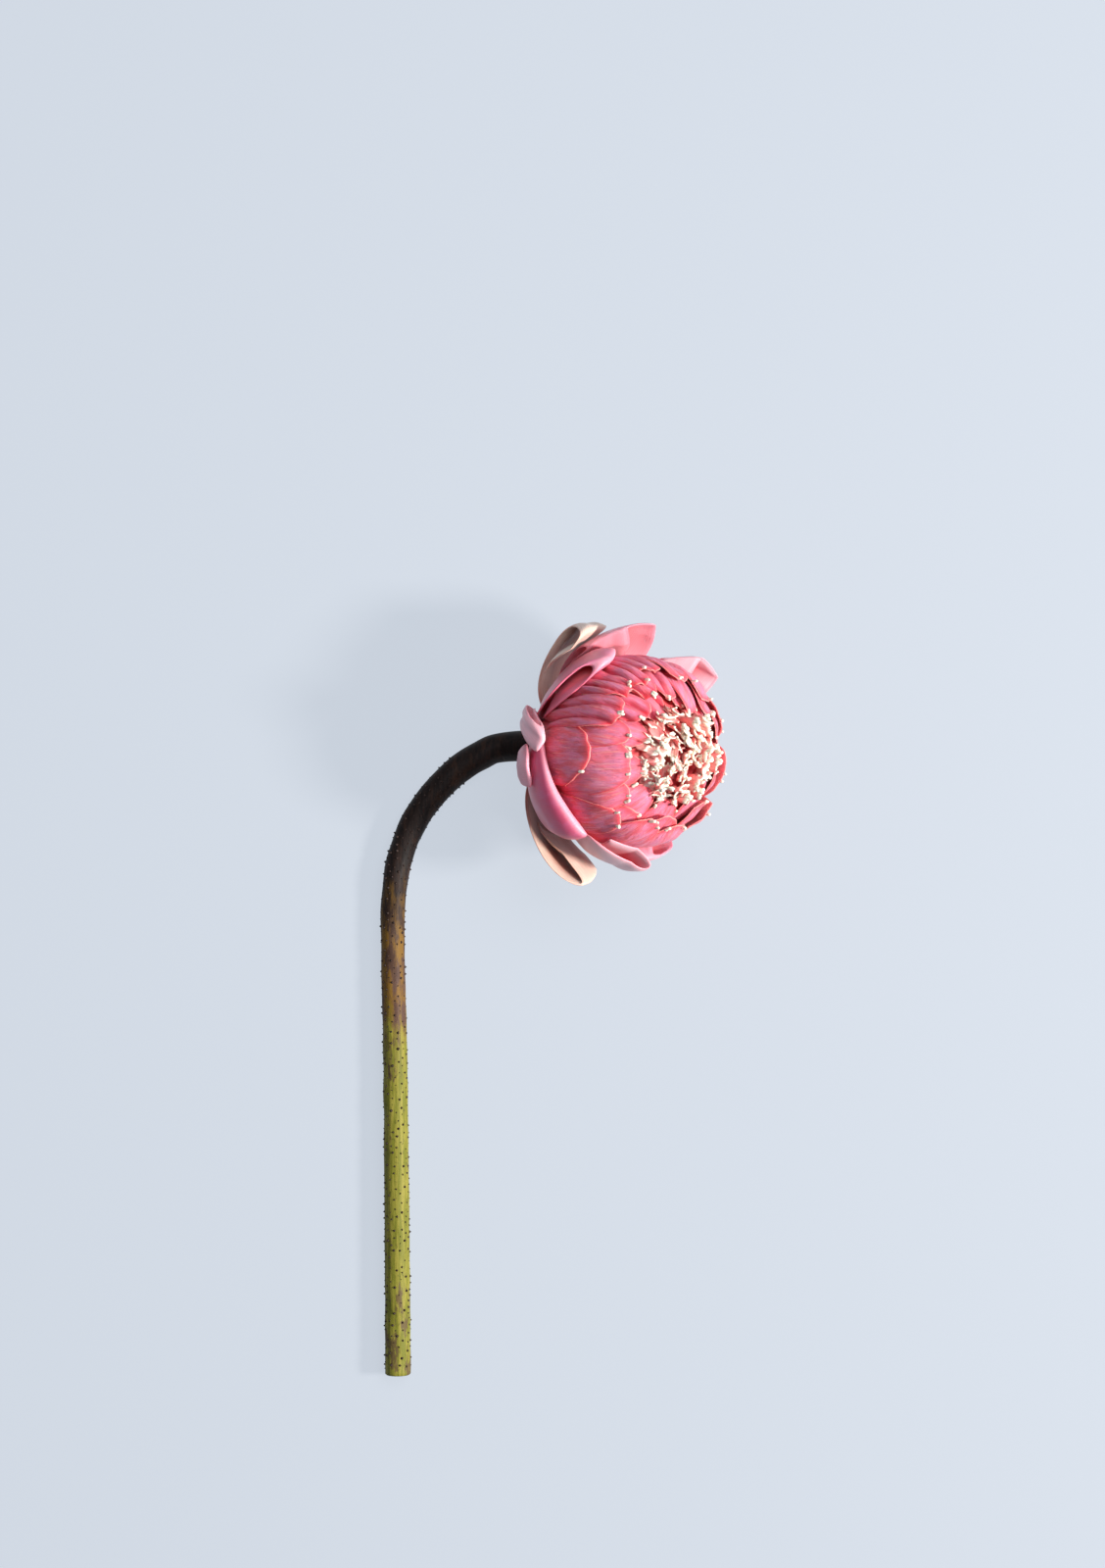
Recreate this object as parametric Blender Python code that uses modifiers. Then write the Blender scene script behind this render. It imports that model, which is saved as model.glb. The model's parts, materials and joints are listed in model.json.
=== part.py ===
"""A cut lotus flower lying on its side: bent stem, folded outer petals and a closed globe of inner petals.

Lengths are in metres and angles in degrees. The flower frame has its pole on the flower's axis:
theta is measured from the open front of the bloom and psi goes round it, with psi 90 on the upper side.
"""
import math

import bmesh
import bpy
import numpy as np

MM = 0.001

# Head
GLOBE_RADIUS = 36.6 * MM
FRONT_FLATTENING = 4.8 * MM
FLATTENING_STARTS = 75.0
AXIS_ELEVATION = 48.0
AXIS_AZIMUTH = -6.0

# Petals
LAYER_SPACING = 2.8 * MM
INNER_THICKNESS = 0.5 * MM
OUTER_THICKNESS = 0.8 * MM
INNER_BASE_THETA = 158.0
OUTER_BASE_THETA = 163.0
OUTER_BASE_RADIUS = 38.3 * MM
TIER_STEP = 1.2 * MM
IMBRICATION = 0.85 * MM
EDGE_DROP = 0.3 * MM
FOLD_GAP = 1.7 * MM

# Rows and columns of the petals' surfaces; a folded petal has rows for its rise, its fold and its flap
FOLDED_COLUMNS = 6
FOLDED_ROWS = (8, 6, 3)
INNER_COLUMNS = 6
INNER_ROWS = 10

# Inner petals: the narrow claw at the base as a share of the full width, how far up it has widened, how far
# the sides fall back from the tip, and the smallest ring of the globe (against its waist) that widths use
CLAW_SHARE = 0.34
CLAW_LENGTH = 0.6
SHOULDER_SLOPE = 0.42
SHOULDER_DROP = 14.0
SMALLEST_RING = 0.55

# Folded petals: where arch, bulge, recess and curl set in, and how fast the outer layer nears its waist
FULL_LIFT_THETA = 100.0
RECESS_STARTS = 0.375
CURL_STARTS = 0.8
WAIST_POWER = 4
COURSE_SAMPLES = 401
COURSE_POWER = 10

# Petaloid cluster in the middle, a lumpy dome with a hollow off its centre
HEART_RADIUS = 28.8 * MM
HEART_BACK = -25.2 * MM
HEART_SEGMENTS = 24
HEART_RINGS = 16
HEART_FRONT = 70.0
HEART_FADE = 30.0
LUMP_HEIGHT = 0.6 * MM
LUMPS_ROUND = 7.0
LUMPS_DOWN = 6.0
HOLLOW_DEPTH = 5.0 * MM
HOLLOW_THETA = 18.0
HOLLOW_PSI = 105.0
HOLLOW_WIDTH = 9.0
HOLLOW_TURN = 35.0

# Stem: where its receptacle ends inside the bloom, measured back along the flower's axis
RECEPTACLE_STEPS = ((-26.0, 10.4), (-29.6, 10.9), (-33.5, 11.0), (-37.0, 9.0), (-41.5, 6.9))
STEM_SAMPLES = 42
STEM_ROUNDNESS = 4
WELD_DISTANCE = 0.01 * MM

COLLECTION = "lotus_flower"

ELEVATION = math.radians(AXIS_ELEVATION)
AZIMUTH = math.radians(AXIS_AZIMUTH)
FLOWER_AXIS = np.array([math.cos(ELEVATION) * math.cos(AZIMUTH),
                        math.cos(ELEVATION) * math.sin(AZIMUTH),
                        math.sin(ELEVATION)])
SIDE_AXIS = np.array([-math.sin(AZIMUTH), math.cos(AZIMUTH), 0.0])
UPPER_AXIS = np.cross(FLOWER_AXIS, SIDE_AXIS)


# Folded petals and sepals. Each is a strip between two ribs, the first at the smaller psi.
# A rib rises from the base at angle "base" to the fold at (theta, psi), turns over and runs back inside.
# "crest" is the radius of the fold, "out" and "in" those of the two layers just behind it, and "waist"
# the outer layer's radius on the way up. "hook" bends the rib's course: (power for theta, power for psi).
# "lean" and "skew" shift the returned layer in theta and psi, over the share of the fold "swing" gives.
# "flap" and "turn" are the lengths of the returned layer and of the fold, as shares of the course.
# "recess" draws the outer layer's side back from the rib, and "curl" bends the side margin inwards.
def rib(base, theta, psi, crest, out, inside, waist=None, flap=0.32, hook=(1.0, 1.0), lean=0.0, skew=0.0,
        turn=0.16, swing=(0.0, 1.0), recess=0.0, curl=0.0):
    return {"base": base, "theta": theta, "psi": psi, "crest": crest * MM, "out": out * MM,
            "in": inside * MM, "waist": (waist or out - 2.0) * MM, "flap": flap, "hook": hook,
            "lean": lean, "skew": skew, "turn": turn, "swing": swing, "recess": recess, "curl": curl * MM}


# "tier" lifts a petal's base over those of its neighbours.
SEPALS = {
    "sepal_top": dict(tier=2, bulge=0.3, arch=-1.0, ribs=(
        rib(12.0, 110.0, 7.0, 51.4, 52.6, 49.0, flap=0.25, lean=-4.0, skew=4.0),
        rib(50.0, 111.0, 25.0, 54.9, 53.6, 48.6, waist=46.0, flap=0.32, hook=(0.9, 1.9), lean=-16.0,
            skew=7.0, swing=(0.4, 0.95)))),
    "sepal_bottom": dict(tier=2, bulge=1.2, arch=-2.0, ribs=(
        rib(122.0, 103.0, 166.0, 56.0, 54.5, 48.8, waist=45.4, flap=0.25, hook=(0.85, 1.6), skew=7.0,
            turn=0.2),
        rib(170.0, 111.0, 184.0, 51.6, 51.8, 48.5, waist=48.0, flap=0.25))),
    "sepal_under_left": dict(tier=2, bulge=0.6, arch=-5.0, ribs=(
        rib(222.0, 112.0, 216.0, 50.0, 50.6, 48.0, flap=0.25),
        rib(258.0, 110.0, 258.0, 50.0, 50.6, 48.0, flap=0.25))),
    "sepal_under_right": dict(tier=2, bulge=0.6, arch=-5.0, ribs=(
        rib(266.0, 111.0, 265.0, 49.0, 49.6, 47.0, flap=0.25),
        rib(304.0, 116.0, 300.0, 49.6, 50.6, 48.2, flap=0.25))),
}

OUTER_PETALS = {
    "outer_petal_top": dict(tier=0, bulge=0.6, arch=-2.0, ribs=(
        rib(-34.0, 88.7, -3.0, 50.0, 48.4, 42.5, waist=43.4, hook=(1.0, 2.8), skew=17.0, turn=0.13,
            swing=(0.28, 0.62)),
        rib(30.0, 110.0, 24.0, 45.5, 46.8, 44.2, flap=0.2))),
    "outer_petal_top_left": dict(tier=0, bulge=0.2, arch=-11.0, ribs=(
        rib(44.0, 105.0, 14.0, 41.0, 42.5, 38.9, waist=41.4, hook=(0.7, 1.6)),
        rib(78.0, 86.5, 46.0, 43.0, 44.2, 39.5, waist=41.1, flap=0.42, hook=(0.6, 2.4), lean=-3.0, turn=0.2,
            recess=0.12))),
    "outer_petal_left": dict(tier=1, bulge=0.2, arch=-5.0, ribs=(
        rib(57.0, 101.0, 82.0, 45.0, 47.6, 42.8, waist=45.8, flap=0.42, hook=(0.8, 1.2), turn=0.2),
        rib(70.0, 99.0, 95.0, 45.6, 46.8, 43.2, waist=46.0, flap=0.4, hook=(0.8, 1.2), turn=0.2))),
    "outer_petal_left_low": dict(tier=1, bulge=0.3, arch=-3.0, ribs=(
        rib(104.0, 113.0, 92.0, 45.0, 46.4, 43.9, hook=(1.0, 3.0)),
        rib(113.0, 108.0, 114.0, 46.2, 47.4, 44.9))),
    "outer_petal_lower_left": dict(tier=0, bulge=0.4, arch=-2.0, ribs=(
        rib(92.0, 109.0, 86.0, 40.4, 41.6, 38.9),
        rib(146.0, 84.0, 144.0, 42.4, 46.8, 38.7, waist=45.4, flap=0.3, turn=0.2, curl=1.6))),
    "outer_petal_bottom": dict(tier=0, bulge=0.4, arch=0.0, ribs=(
        rib(148.5, 77.0, 184.0, 45.6, 44.0, 39.2, waist=41.4, flap=0.45, hook=(0.07, 1.8), lean=-5.0),
        rib(170.0, 106.0, 190.0, 45.4, 45.2, 41.0, waist=43.2, hook=(0.8, 1.3)))),
    "outer_petal_bottom_right": dict(tier=0, bulge=0.6, arch=-2.0, ribs=(
        rib(194.0, 97.0, 194.0, 43.0, 44.4, 39.4),
        rib(238.5, 94.0, 219.0, 45.6, 46.2, 39.4, hook=(1.0, 4.0), skew=-14.0, turn=0.16,
            swing=(0.15, 0.8)))),
    "outer_petal_under_left": dict(tier=0, bulge=0.6, arch=-6.0, ribs=(
        rib(242.0, 98.0, 241.0, 43.0, 44.2, 40.0),
        rib(261.5, 98.0, 261.5, 43.0, 44.2, 40.0))),
    "outer_petal_under_right": dict(tier=0, bulge=0.6, arch=-6.0, ribs=(
        rib(265.0, 97.0, 264.0, 43.0, 44.2, 40.0),
        rib(284.0, 98.0, 292.0, 43.0, 44.2, 40.0))),
    "outer_petal_far": dict(tier=0, bulge=0.8, arch=-2.0, ribs=(
        rib(289.0, 85.5, 312.0, 49.8, 47.6, 40.4, waist=43.0, hook=(0.8, 2.6), skew=14.0, turn=0.12,
            swing=(0.28, 0.62)),
        rib(322.0, 103.0, 333.0, 43.6, 44.8, 40.0))),
}

# Inner petals by layer, outermost first: psi, theta of the tip, half width in degrees at the globe's
# waist, and how square the end is
INNER_LAYERS = (
    ((94.0, 70.0, 20.0, 1.9), (139.0, 61.0, 13.0, 2.4), (164.0, 49.0, 16.0, 2.4),
     (193.0, 50.0, 18.0, 2.2), (227.0, 58.0, 20.0, 2.2), (264.0, 62.0, 20.0, 2.2),
     (301.0, 58.0, 20.0, 2.2), (334.0, 47.0, 17.0, 2.2), (359.0, 53.0, 12.5, 2.8),
     (16.0, 63.0, 12.0, 2.8), (32.0, 58.0, 11.0, 2.8), (46.0, 60.0, 10.0, 2.8), (64.0, 57.0, 14.0, 3.4)),
    ((77.0, 48.0, 13.0, 2.4), (102.0, 46.0, 19.3, 3.4), (126.0, 50.5, 13.0, 2.8),
     (149.0, 54.0, 16.0, 2.2), (180.0, 45.0, 20.0, 2.2), (219.0, 45.0, 20.0, 2.2),
     (258.0, 48.0, 20.0, 2.2), (297.0, 46.0, 20.0, 2.2), (328.0, 39.0, 16.0, 2.2),
     (350.5, 33.0, 13.5, 2.8), (13.0, 44.0, 13.0, 2.4), (31.0, 49.0, 12.0, 2.4), (52.0, 43.0, 15.0, 2.8)),
    ((72.0, 37.0, 18.0, 2.2), (108.0, 36.0, 17.0, 2.2), (143.0, 36.0, 18.0, 2.2),
     (179.0, 36.0, 18.0, 2.2), (215.0, 36.0, 18.0, 2.2), (252.0, 38.0, 18.0, 2.2),
     (288.0, 36.0, 18.0, 2.2), (323.0, 38.0, 17.0, 2.2), (0.0, 39.0, 18.0, 2.2), (36.0, 35.0, 18.0, 2.2)),
)

# Stem axis from the cut end to the neck: (x, y) from the globe's centre and the radius, in millimetres.
STEM_LINE = (
    (-95.1, -252.3, 5.2), (-95.4, -210.0, 5.1), (-95.8, -165.0, 5.0), (-96.3, -120.0, 4.9),
    (-97.2, -80.0, 4.8), (-96.6, -55.5, 5.0), (-92.6, -37.0, 5.2), (-84.4, -21.3, 5.5),
    (-72.8, -8.6, 5.7), (-61.6, -1.0, 5.9), (-52.0, 2.4, 6.0),
)


def smoothstep(value):
    value = np.clip(value, 0.0, 1.0)
    return value * value * (3.0 - 2.0 * value)


def globe_radius(theta, radius):
    return radius - FRONT_FLATTENING * smoothstep((FLATTENING_STARTS - theta) / FLATTENING_STARTS)


def flower_points(theta, psi, radius):
    """Points relative to the globe's centre, from polar coordinates about the flower's axis."""
    theta = np.radians(theta)
    psi = np.radians(psi)
    along = radius * np.cos(theta)
    across = radius * np.sin(theta)
    return (along[..., None] * FLOWER_AXIS
            + (across * np.cos(psi))[..., None] * SIDE_AXIS
            + (across * np.sin(psi))[..., None] * UPPER_AXIS)


def inner_petal_grid(psi, tip, half_width, squareness, radius):
    """A spoon-shaped petal that hugs the globe, one edge tucked under and one over its neighbours."""
    across = np.sin(np.linspace(-0.5, 0.5, INNER_COLUMNS + 1) * math.pi)
    s, v = np.meshgrid(across, np.linspace(0.0, 1.0, INNER_ROWS + 1), indexing="ij")
    top = tip + (SHOULDER_SLOPE * (90.0 - tip) + SHOULDER_DROP) * np.abs(s) ** squareness
    theta = INNER_BASE_THETA + (top - INNER_BASE_THETA) * v
    width = half_width * (CLAW_SHARE + (1.0 - CLAW_SHARE) * smoothstep(v / CLAW_LENGTH))
    spread = width / np.maximum(np.sin(np.radians(theta)), SMALLEST_RING)
    lift = IMBRICATION * s - EDGE_DROP * s * s * smoothstep(v / CLAW_LENGTH)
    return flower_points(theta, psi + s * spread, globe_radius(theta, radius) + lift)


def outer_layer_radius(part, base_radius, climb):
    """Radius of a rib's outer layer, from the base (climb 0) to the start of the fold (climb 1)."""
    return (base_radius + (part["waist"] - base_radius) * (1.0 - (1.0 - climb) ** WAIST_POWER)
            + (part["out"] - part["waist"]) * climb ** 2)


def rib_angles(part, course):
    theta = OUTER_BASE_THETA + (part["theta"] - OUTER_BASE_THETA) * course ** part["hook"][0]
    psi = part["base"] + (part["psi"] - part["base"]) * course ** part["hook"][1]
    return theta, psi


def even_steps(part, top, count):
    """Values of the course from 0 up to the fold, a like distance apart on the globe."""
    fine = top * np.linspace(0.0, 1.0, COURSE_SAMPLES) ** COURSE_POWER
    theta, psi = np.radians(rib_angles(part, fine))
    places = np.stack((np.sin(theta) * np.cos(psi), np.sin(theta) * np.sin(psi), np.cos(theta)), axis=1)
    length = np.concatenate(([0.0], np.cumsum(np.linalg.norm(np.diff(places, axis=0), axis=1))))
    return np.interp(np.linspace(0.0, length[-1], count, endpoint=False), length, fine)


def rib_course(part, base_radius):
    """One rib of a folded petal, from the base over the fold to the flap's end.

    Gives its theta, psi and radius, how far round the fold each point is, and its side's recess.
    """
    rise_rows, turn_rows, flap_rows = FOLDED_ROWS
    top = 1.0 - part["turn"]
    rise = even_steps(part, top, rise_rows)
    angle = np.linspace(0.0, math.pi, turn_rows + 1)
    back = np.linspace(top, 1.0 - part["flap"] - part["turn"], flap_rows + 1)[1:]
    course = np.concatenate((rise, top + part["turn"] * np.sin(angle), back))

    middle = 0.5 * (part["out"] + part["in"])
    half = 0.5 * (part["out"] - part["in"])
    rise_radius = outer_layer_radius(part, base_radius, rise / top)
    turn_radius = middle + half * np.cos(angle) + (part["crest"] - middle) * np.sin(angle)
    back_radius = np.minimum(part["in"], outer_layer_radius(part, base_radius, back / top) - FOLD_GAP)
    radius = np.concatenate((rise_radius, turn_radius, back_radius))

    theta, psi = rib_angles(part, course)
    folded = np.concatenate((np.zeros(rise_rows), 0.5 - 0.5 * np.cos(angle), np.ones(flap_rows)))
    swing_from, swing_to = part["swing"]
    shift = smoothstep((folded - swing_from) / (swing_to - swing_from))
    climb = np.concatenate((rise / top, np.ones(turn_rows + 1 + flap_rows)))
    recess = smoothstep((climb - RECESS_STARTS) / (1.0 - RECESS_STARTS))
    drawn_back = part["recess"] * recess * (1.0 - shift)
    return theta + part["lean"] * shift, psi + part["skew"] * shift, radius, folded, drawn_back


def folded_petal_grid(part):
    base_radius = OUTER_BASE_RADIUS + part["tier"] * TIER_STEP
    first, second = (rib_course(course, base_radius) for course in part["ribs"])
    s = np.linspace(-1.0, 1.0, FOLDED_COLUMNS + 1)[:, None]
    crown = 1.0 - s * s
    mix = 0.5 * (s + 1.0)
    mix = first[4] * (1.0 - mix) + (1.0 - second[4]) * mix
    theta, psi, radius, folded = (a * (1.0 - mix) + b * mix for a, b in zip(first[:4], second[:4]))
    lift = np.clip((OUTER_BASE_THETA - theta) / (OUTER_BASE_THETA - FULL_LIFT_THETA), 0.0, 1.0)
    theta = theta + part["arch"] * crown * lift
    radius = radius + part["bulge"] * MM * crown * lift * (1.0 - folded)
    curl = np.where(s > 0.0, part["ribs"][1]["curl"], part["ribs"][0]["curl"])
    margin = smoothstep((np.abs(s) - CURL_STARTS) / (1.0 - CURL_STARTS))
    radius = radius - curl * margin * lift * (1.0 - 2.0 * folded)
    return flower_points(theta, psi, radius)


def smooth_line(points, samples):
    """Catmull-Rom line through the points, sampled evenly in each span."""
    points = np.array(points, dtype=float)
    before = 2.0 * points[0] - points[1]
    after = 2.0 * points[-1] - points[-2]
    padded = np.vstack((before, points, after))
    line = []
    for position in np.linspace(0.0, len(points) - 1.0, samples):
        span = min(int(position), len(points) - 2)
        t = position - span
        a, b, c, d = padded[span:span + 4]
        line.append(0.5 * (2.0 * b + (c - a) * t + (2.0 * a - 5.0 * b + 4.0 * c - d) * t ** 2
                           + (3.0 * b - a - 3.0 * c + d) * t ** 3))
    return np.array(line)


def principled(name, colour, roughness):
    material = bpy.data.materials.new(name)
    material.use_nodes = True
    shader = material.node_tree.nodes["Principled BSDF"]
    shader.inputs["Base Color"].default_value = (*colour, 1.0)
    shader.inputs["Roughness"].default_value = roughness
    shader.inputs["Metallic"].default_value = 0.0
    return material


def add_object(name, mesh, material, collection):
    mesh.materials.append(material)
    mesh.shade_smooth()
    thing = bpy.data.objects.new(name, mesh)
    collection.objects.link(thing)
    return thing


def add_sheet(name, grid, thickness, material, collection):
    """A thin petal: an open quad surface through the grid's points, thickened evenly on both sides."""
    columns, rows = grid.shape[0], grid.shape[1]
    faces = []
    for i in range(columns - 1):
        for j in range(rows - 1):
            corner = i * rows + j
            faces.append((corner, corner + 1, corner + rows + 1, corner + rows))
    mesh = bpy.data.meshes.new(name)
    mesh.from_pydata(grid.reshape(-1, 3).tolist(), [], faces)
    petal = add_object(name, mesh, material, collection)
    shell = petal.modifiers.new("thickness", "SOLIDIFY")
    shell.thickness = thickness
    shell.offset = 0.0
    shell.use_even_offset = False
    return petal


def add_heart(material, collection):
    """The crowd of petaloids as one lumpy dome with a hollow off its middle."""
    body = bmesh.new()
    bmesh.ops.create_uvsphere(body, u_segments=HEART_SEGMENTS, v_segments=HEART_RINGS, radius=1.0)
    for vertex in body.verts:
        direction = np.array(vertex.co)
        theta = math.degrees(math.acos(np.clip(direction[2], -1.0, 1.0)))
        psi = math.degrees(math.atan2(direction[1], direction[0]))
        lumps = math.sin(math.radians(LUMPS_ROUND * psi)) * math.sin(math.radians(LUMPS_DOWN * theta))
        hollow = HOLLOW_DEPTH * math.exp(-((theta - HOLLOW_THETA) / HOLLOW_WIDTH) ** 2
                                         - ((psi - HOLLOW_PSI) / HOLLOW_TURN) ** 2)
        front = float(smoothstep((HEART_FRONT - theta) / HEART_FADE))
        radius = float(globe_radius(theta, HEART_RADIUS)) + front * (LUMP_HEIGHT * lumps - hollow)
        along = max(radius * direction[2], HEART_BACK)
        across = direction[0] * SIDE_AXIS + direction[1] * UPPER_AXIS
        vertex.co = along * FLOWER_AXIS + radius * across
    bmesh.ops.recalc_face_normals(body, faces=body.faces)
    mesh = bpy.data.meshes.new("petaloid_cluster")
    body.to_mesh(mesh)
    body.free()
    return add_object("petaloid_cluster", mesh, material, collection)


def add_stem(height, material, collection):
    """The bent stem with the receptacle that the petals grow from, as one tube of changing radius."""
    points = [(x * MM, y * MM, radius * MM - height, radius * MM) for x, y, radius in STEM_LINE]
    for distance, radius in reversed(RECEPTACLE_STEPS):
        points.append((*(distance * MM * FLOWER_AXIS), radius * MM))
    line = smooth_line(points, STEM_SAMPLES)
    line[:, 2] = np.maximum(line[:, 2], line[:, 3] - height)
    curve = bpy.data.curves.new("stem_line", "CURVE")
    curve.dimensions = "3D"
    curve.bevel_depth = 1.0
    curve.bevel_resolution = STEM_ROUNDNESS
    curve.use_fill_caps = True
    spline = curve.splines.new("POLY")
    spline.points.add(len(line) - 1)
    for point, (x, y, z, radius) in zip(spline.points, line):
        point.co = (x, y, z, 1.0)
        point.radius = radius
    guide = bpy.data.objects.new("stem_line", curve)
    collection.objects.link(guide)
    bpy.context.view_layer.update()
    evaluated = guide.evaluated_get(bpy.context.evaluated_depsgraph_get())
    mesh = bpy.data.meshes.new_from_object(evaluated)
    bpy.data.objects.remove(guide)
    solid = bmesh.new()
    solid.from_mesh(mesh)
    bmesh.ops.remove_doubles(solid, verts=solid.verts, dist=WELD_DISTANCE)
    bmesh.ops.recalc_face_normals(solid, faces=solid.faces)
    solid.to_mesh(mesh)
    solid.free()
    mesh.materials.clear()
    return add_object("stem_with_receptacle", mesh, material, collection)


def stand_on_floor(things):
    """Moves every piece so that the middle of the object's box is over the origin and its bottom at zero."""
    bpy.context.view_layer.update()
    graph = bpy.context.evaluated_depsgraph_get()
    low = np.full(3, np.inf)
    high = np.full(3, -np.inf)
    for thing in things:
        mesh = thing.evaluated_get(graph).to_mesh()
        points = np.array([vertex.co for vertex in mesh.vertices])
        low = np.minimum(low, points.min(axis=0))
        high = np.maximum(high, points.max(axis=0))
    for thing in things:
        thing.location = (-0.5 * (low[0] + high[0]), -0.5 * (low[1] + high[1]), -low[2])


def build():
    for thing in list(bpy.data.objects):
        bpy.data.objects.remove(thing)
    collection = bpy.data.collections.new(COLLECTION)
    bpy.context.scene.collection.children.link(collection)

    stem_material = principled("stem", (0.21, 0.2, 0.05), 0.6)
    sepal_material = principled("sepal", (0.62, 0.36, 0.27), 0.55)
    outer_material = principled("outer_petal", (0.86, 0.38, 0.42), 0.5)
    inner_material = principled("inner_petal", (0.78, 0.2, 0.24), 0.5)
    petaloid_material = principled("petaloid", (0.85, 0.55, 0.45), 0.6)

    things = []
    lowest = 0.0
    for name, part in SEPALS.items():
        grid = folded_petal_grid(part)
        lowest = min(lowest, grid[..., 2].min())
        things.append(add_sheet(name, grid, OUTER_THICKNESS, sepal_material, collection))
    for name, part in OUTER_PETALS.items():
        grid = folded_petal_grid(part)
        lowest = min(lowest, grid[..., 2].min())
        things.append(add_sheet(name, grid, OUTER_THICKNESS, outer_material, collection))
    for layer, petals in enumerate(INNER_LAYERS):
        radius = GLOBE_RADIUS - layer * LAYER_SPACING
        for number, petal in enumerate(petals):
            grid = inner_petal_grid(*petal, radius)
            name = f"inner_petal_{layer + 1}_{number + 1:02d}"
            things.append(add_sheet(name, grid, INNER_THICKNESS, inner_material, collection))
    things.append(add_heart(petaloid_material, collection))
    height = 0.5 * OUTER_THICKNESS - lowest
    things.append(add_stem(height, stem_material, collection))
    stand_on_floor(things)


build()
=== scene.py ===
import json
import math
import random

import bpy
import numpy as np
from mathutils import Matrix, Vector, noise

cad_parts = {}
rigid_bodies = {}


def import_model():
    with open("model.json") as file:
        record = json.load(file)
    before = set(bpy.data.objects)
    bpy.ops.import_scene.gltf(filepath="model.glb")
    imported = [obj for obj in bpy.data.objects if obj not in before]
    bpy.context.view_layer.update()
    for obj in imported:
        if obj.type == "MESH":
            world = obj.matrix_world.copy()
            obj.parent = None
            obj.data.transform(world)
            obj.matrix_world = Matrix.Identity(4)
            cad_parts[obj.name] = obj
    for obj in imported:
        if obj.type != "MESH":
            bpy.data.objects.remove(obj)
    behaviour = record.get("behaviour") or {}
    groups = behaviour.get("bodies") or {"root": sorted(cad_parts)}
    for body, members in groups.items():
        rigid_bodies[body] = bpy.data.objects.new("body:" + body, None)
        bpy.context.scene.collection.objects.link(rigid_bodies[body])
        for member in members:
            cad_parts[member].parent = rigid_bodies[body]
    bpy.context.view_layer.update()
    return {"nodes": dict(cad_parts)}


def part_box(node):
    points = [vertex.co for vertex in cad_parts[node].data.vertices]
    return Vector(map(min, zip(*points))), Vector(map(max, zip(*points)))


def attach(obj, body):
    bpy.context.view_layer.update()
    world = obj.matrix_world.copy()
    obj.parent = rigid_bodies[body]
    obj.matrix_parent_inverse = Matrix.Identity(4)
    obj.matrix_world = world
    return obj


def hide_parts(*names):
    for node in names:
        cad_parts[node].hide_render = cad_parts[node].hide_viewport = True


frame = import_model()
print("frame loaded with", len(frame["nodes"]), "nodes")

mm = 0.001

# The flower frame: theta is measured from the open front of the bloom, psi goes round its axis and
# psi 90 is the upper side. Lengths are in millimetres from the globe's centre, angles in degrees.
bloom = {
    "centreFromStem": (102.09, 252.34, 49.07),  # from the low corner of the stem's box
    "globeRadius": 36.6,
    "frontFlattening": 4.8,
    "flatteningStarts": 75.0,
    "axisElevation": 48.0,
    "axisAzimuth": -6.0,
}

stemLow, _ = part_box("stem_with_receptacle")
globeCentre = np.array(stemLow) + np.array(bloom["centreFromStem"]) * mm
elevation = math.radians(bloom["axisElevation"])
azimuth = math.radians(bloom["axisAzimuth"])
flowerAxis = np.array([math.cos(elevation) * math.cos(azimuth),
                       math.cos(elevation) * math.sin(azimuth),
                       math.sin(elevation)])
sideAxis = np.array([-math.sin(azimuth), math.cos(azimuth), 0.0])
upperAxis = np.cross(flowerAxis, sideAxis)


def smoothStep(value):
    value = np.clip(value, 0.0, 1.0)
    return value * value * (3.0 - 2.0 * value)


def globeRadiusAt(theta, radius):
    flat = smoothStep((bloom["flatteningStarts"] - theta) / bloom["flatteningStarts"])
    return radius - bloom["frontFlattening"] * flat


def flowerPoints(theta, psi, radius):
    theta = np.radians(theta)
    psi = np.radians(psi)
    along = radius * np.cos(theta)
    across = radius * np.sin(theta)
    return (along[..., None] * flowerAxis
            + (across * np.cos(psi))[..., None] * sideAxis
            + (across * np.sin(psi))[..., None] * upperAxis)


def placed(points):
    return globeCentre + np.asarray(points) * mm


# Small helpers for node trees

def addNode(tree, kind, inputs=None, **settings):
    made = tree.nodes.new(kind)
    for key, value in settings.items():
        setattr(made, key, value)
    for key, value in (inputs or {}).items():
        if isinstance(value, bpy.types.NodeSocket):
            tree.links.new(value, made.inputs[key])
        else:
            made.inputs[key].default_value = value
    return made


def outputOf(tree, kind, inputs=None, output=0, **settings):
    return addNode(tree, kind, inputs, **settings).outputs[output]


def doMath(tree, operation, first, second=0.0, third=0.0):
    return outputOf(tree, "ShaderNodeMath", {0: first, 1: second, 2: third}, operation=operation)


def fadeIn(tree, value, low, high):
    return outputOf(tree, "ShaderNodeMapRange", {"Value": value, "From Min": low, "From Max": high},
                    interpolation_type="SMOOTHSTEP")


def fadeOut(tree, value, low, high):
    return doMath(tree, "SUBTRACT", 1.0, fadeIn(tree, value, low, high))


def mixColours(tree, share, first, second):
    return outputOf(tree, "ShaderNodeMix", {0: share, 6: first, 7: second}, 2, data_type="RGBA")


def ramp(tree, value, low, high, first, second):
    return mixColours(tree, fadeIn(tree, value, low, high), first, second)


def tinted(tree, skin, look, *layers):
    # lays tints of the look over the skin, each with its share and strength
    for name, share, strength in layers:
        skin = mixColours(tree, doMath(tree, "MULTIPLY", share, strength), skin, look[name])
    return skin


def stretched(tree, vector, scale):
    return outputOf(tree, "ShaderNodeMapping", {"Vector": vector, "Scale": scale})


def mottle(tree, vector, stretch, detail=3.0, roughness=0.55, output=0):
    return outputOf(tree, "ShaderNodeTexNoise", {
        "Vector": stretched(tree, vector, stretch), "Scale": 1.0, "Detail": detail,
        "Roughness": roughness}, output)


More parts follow.
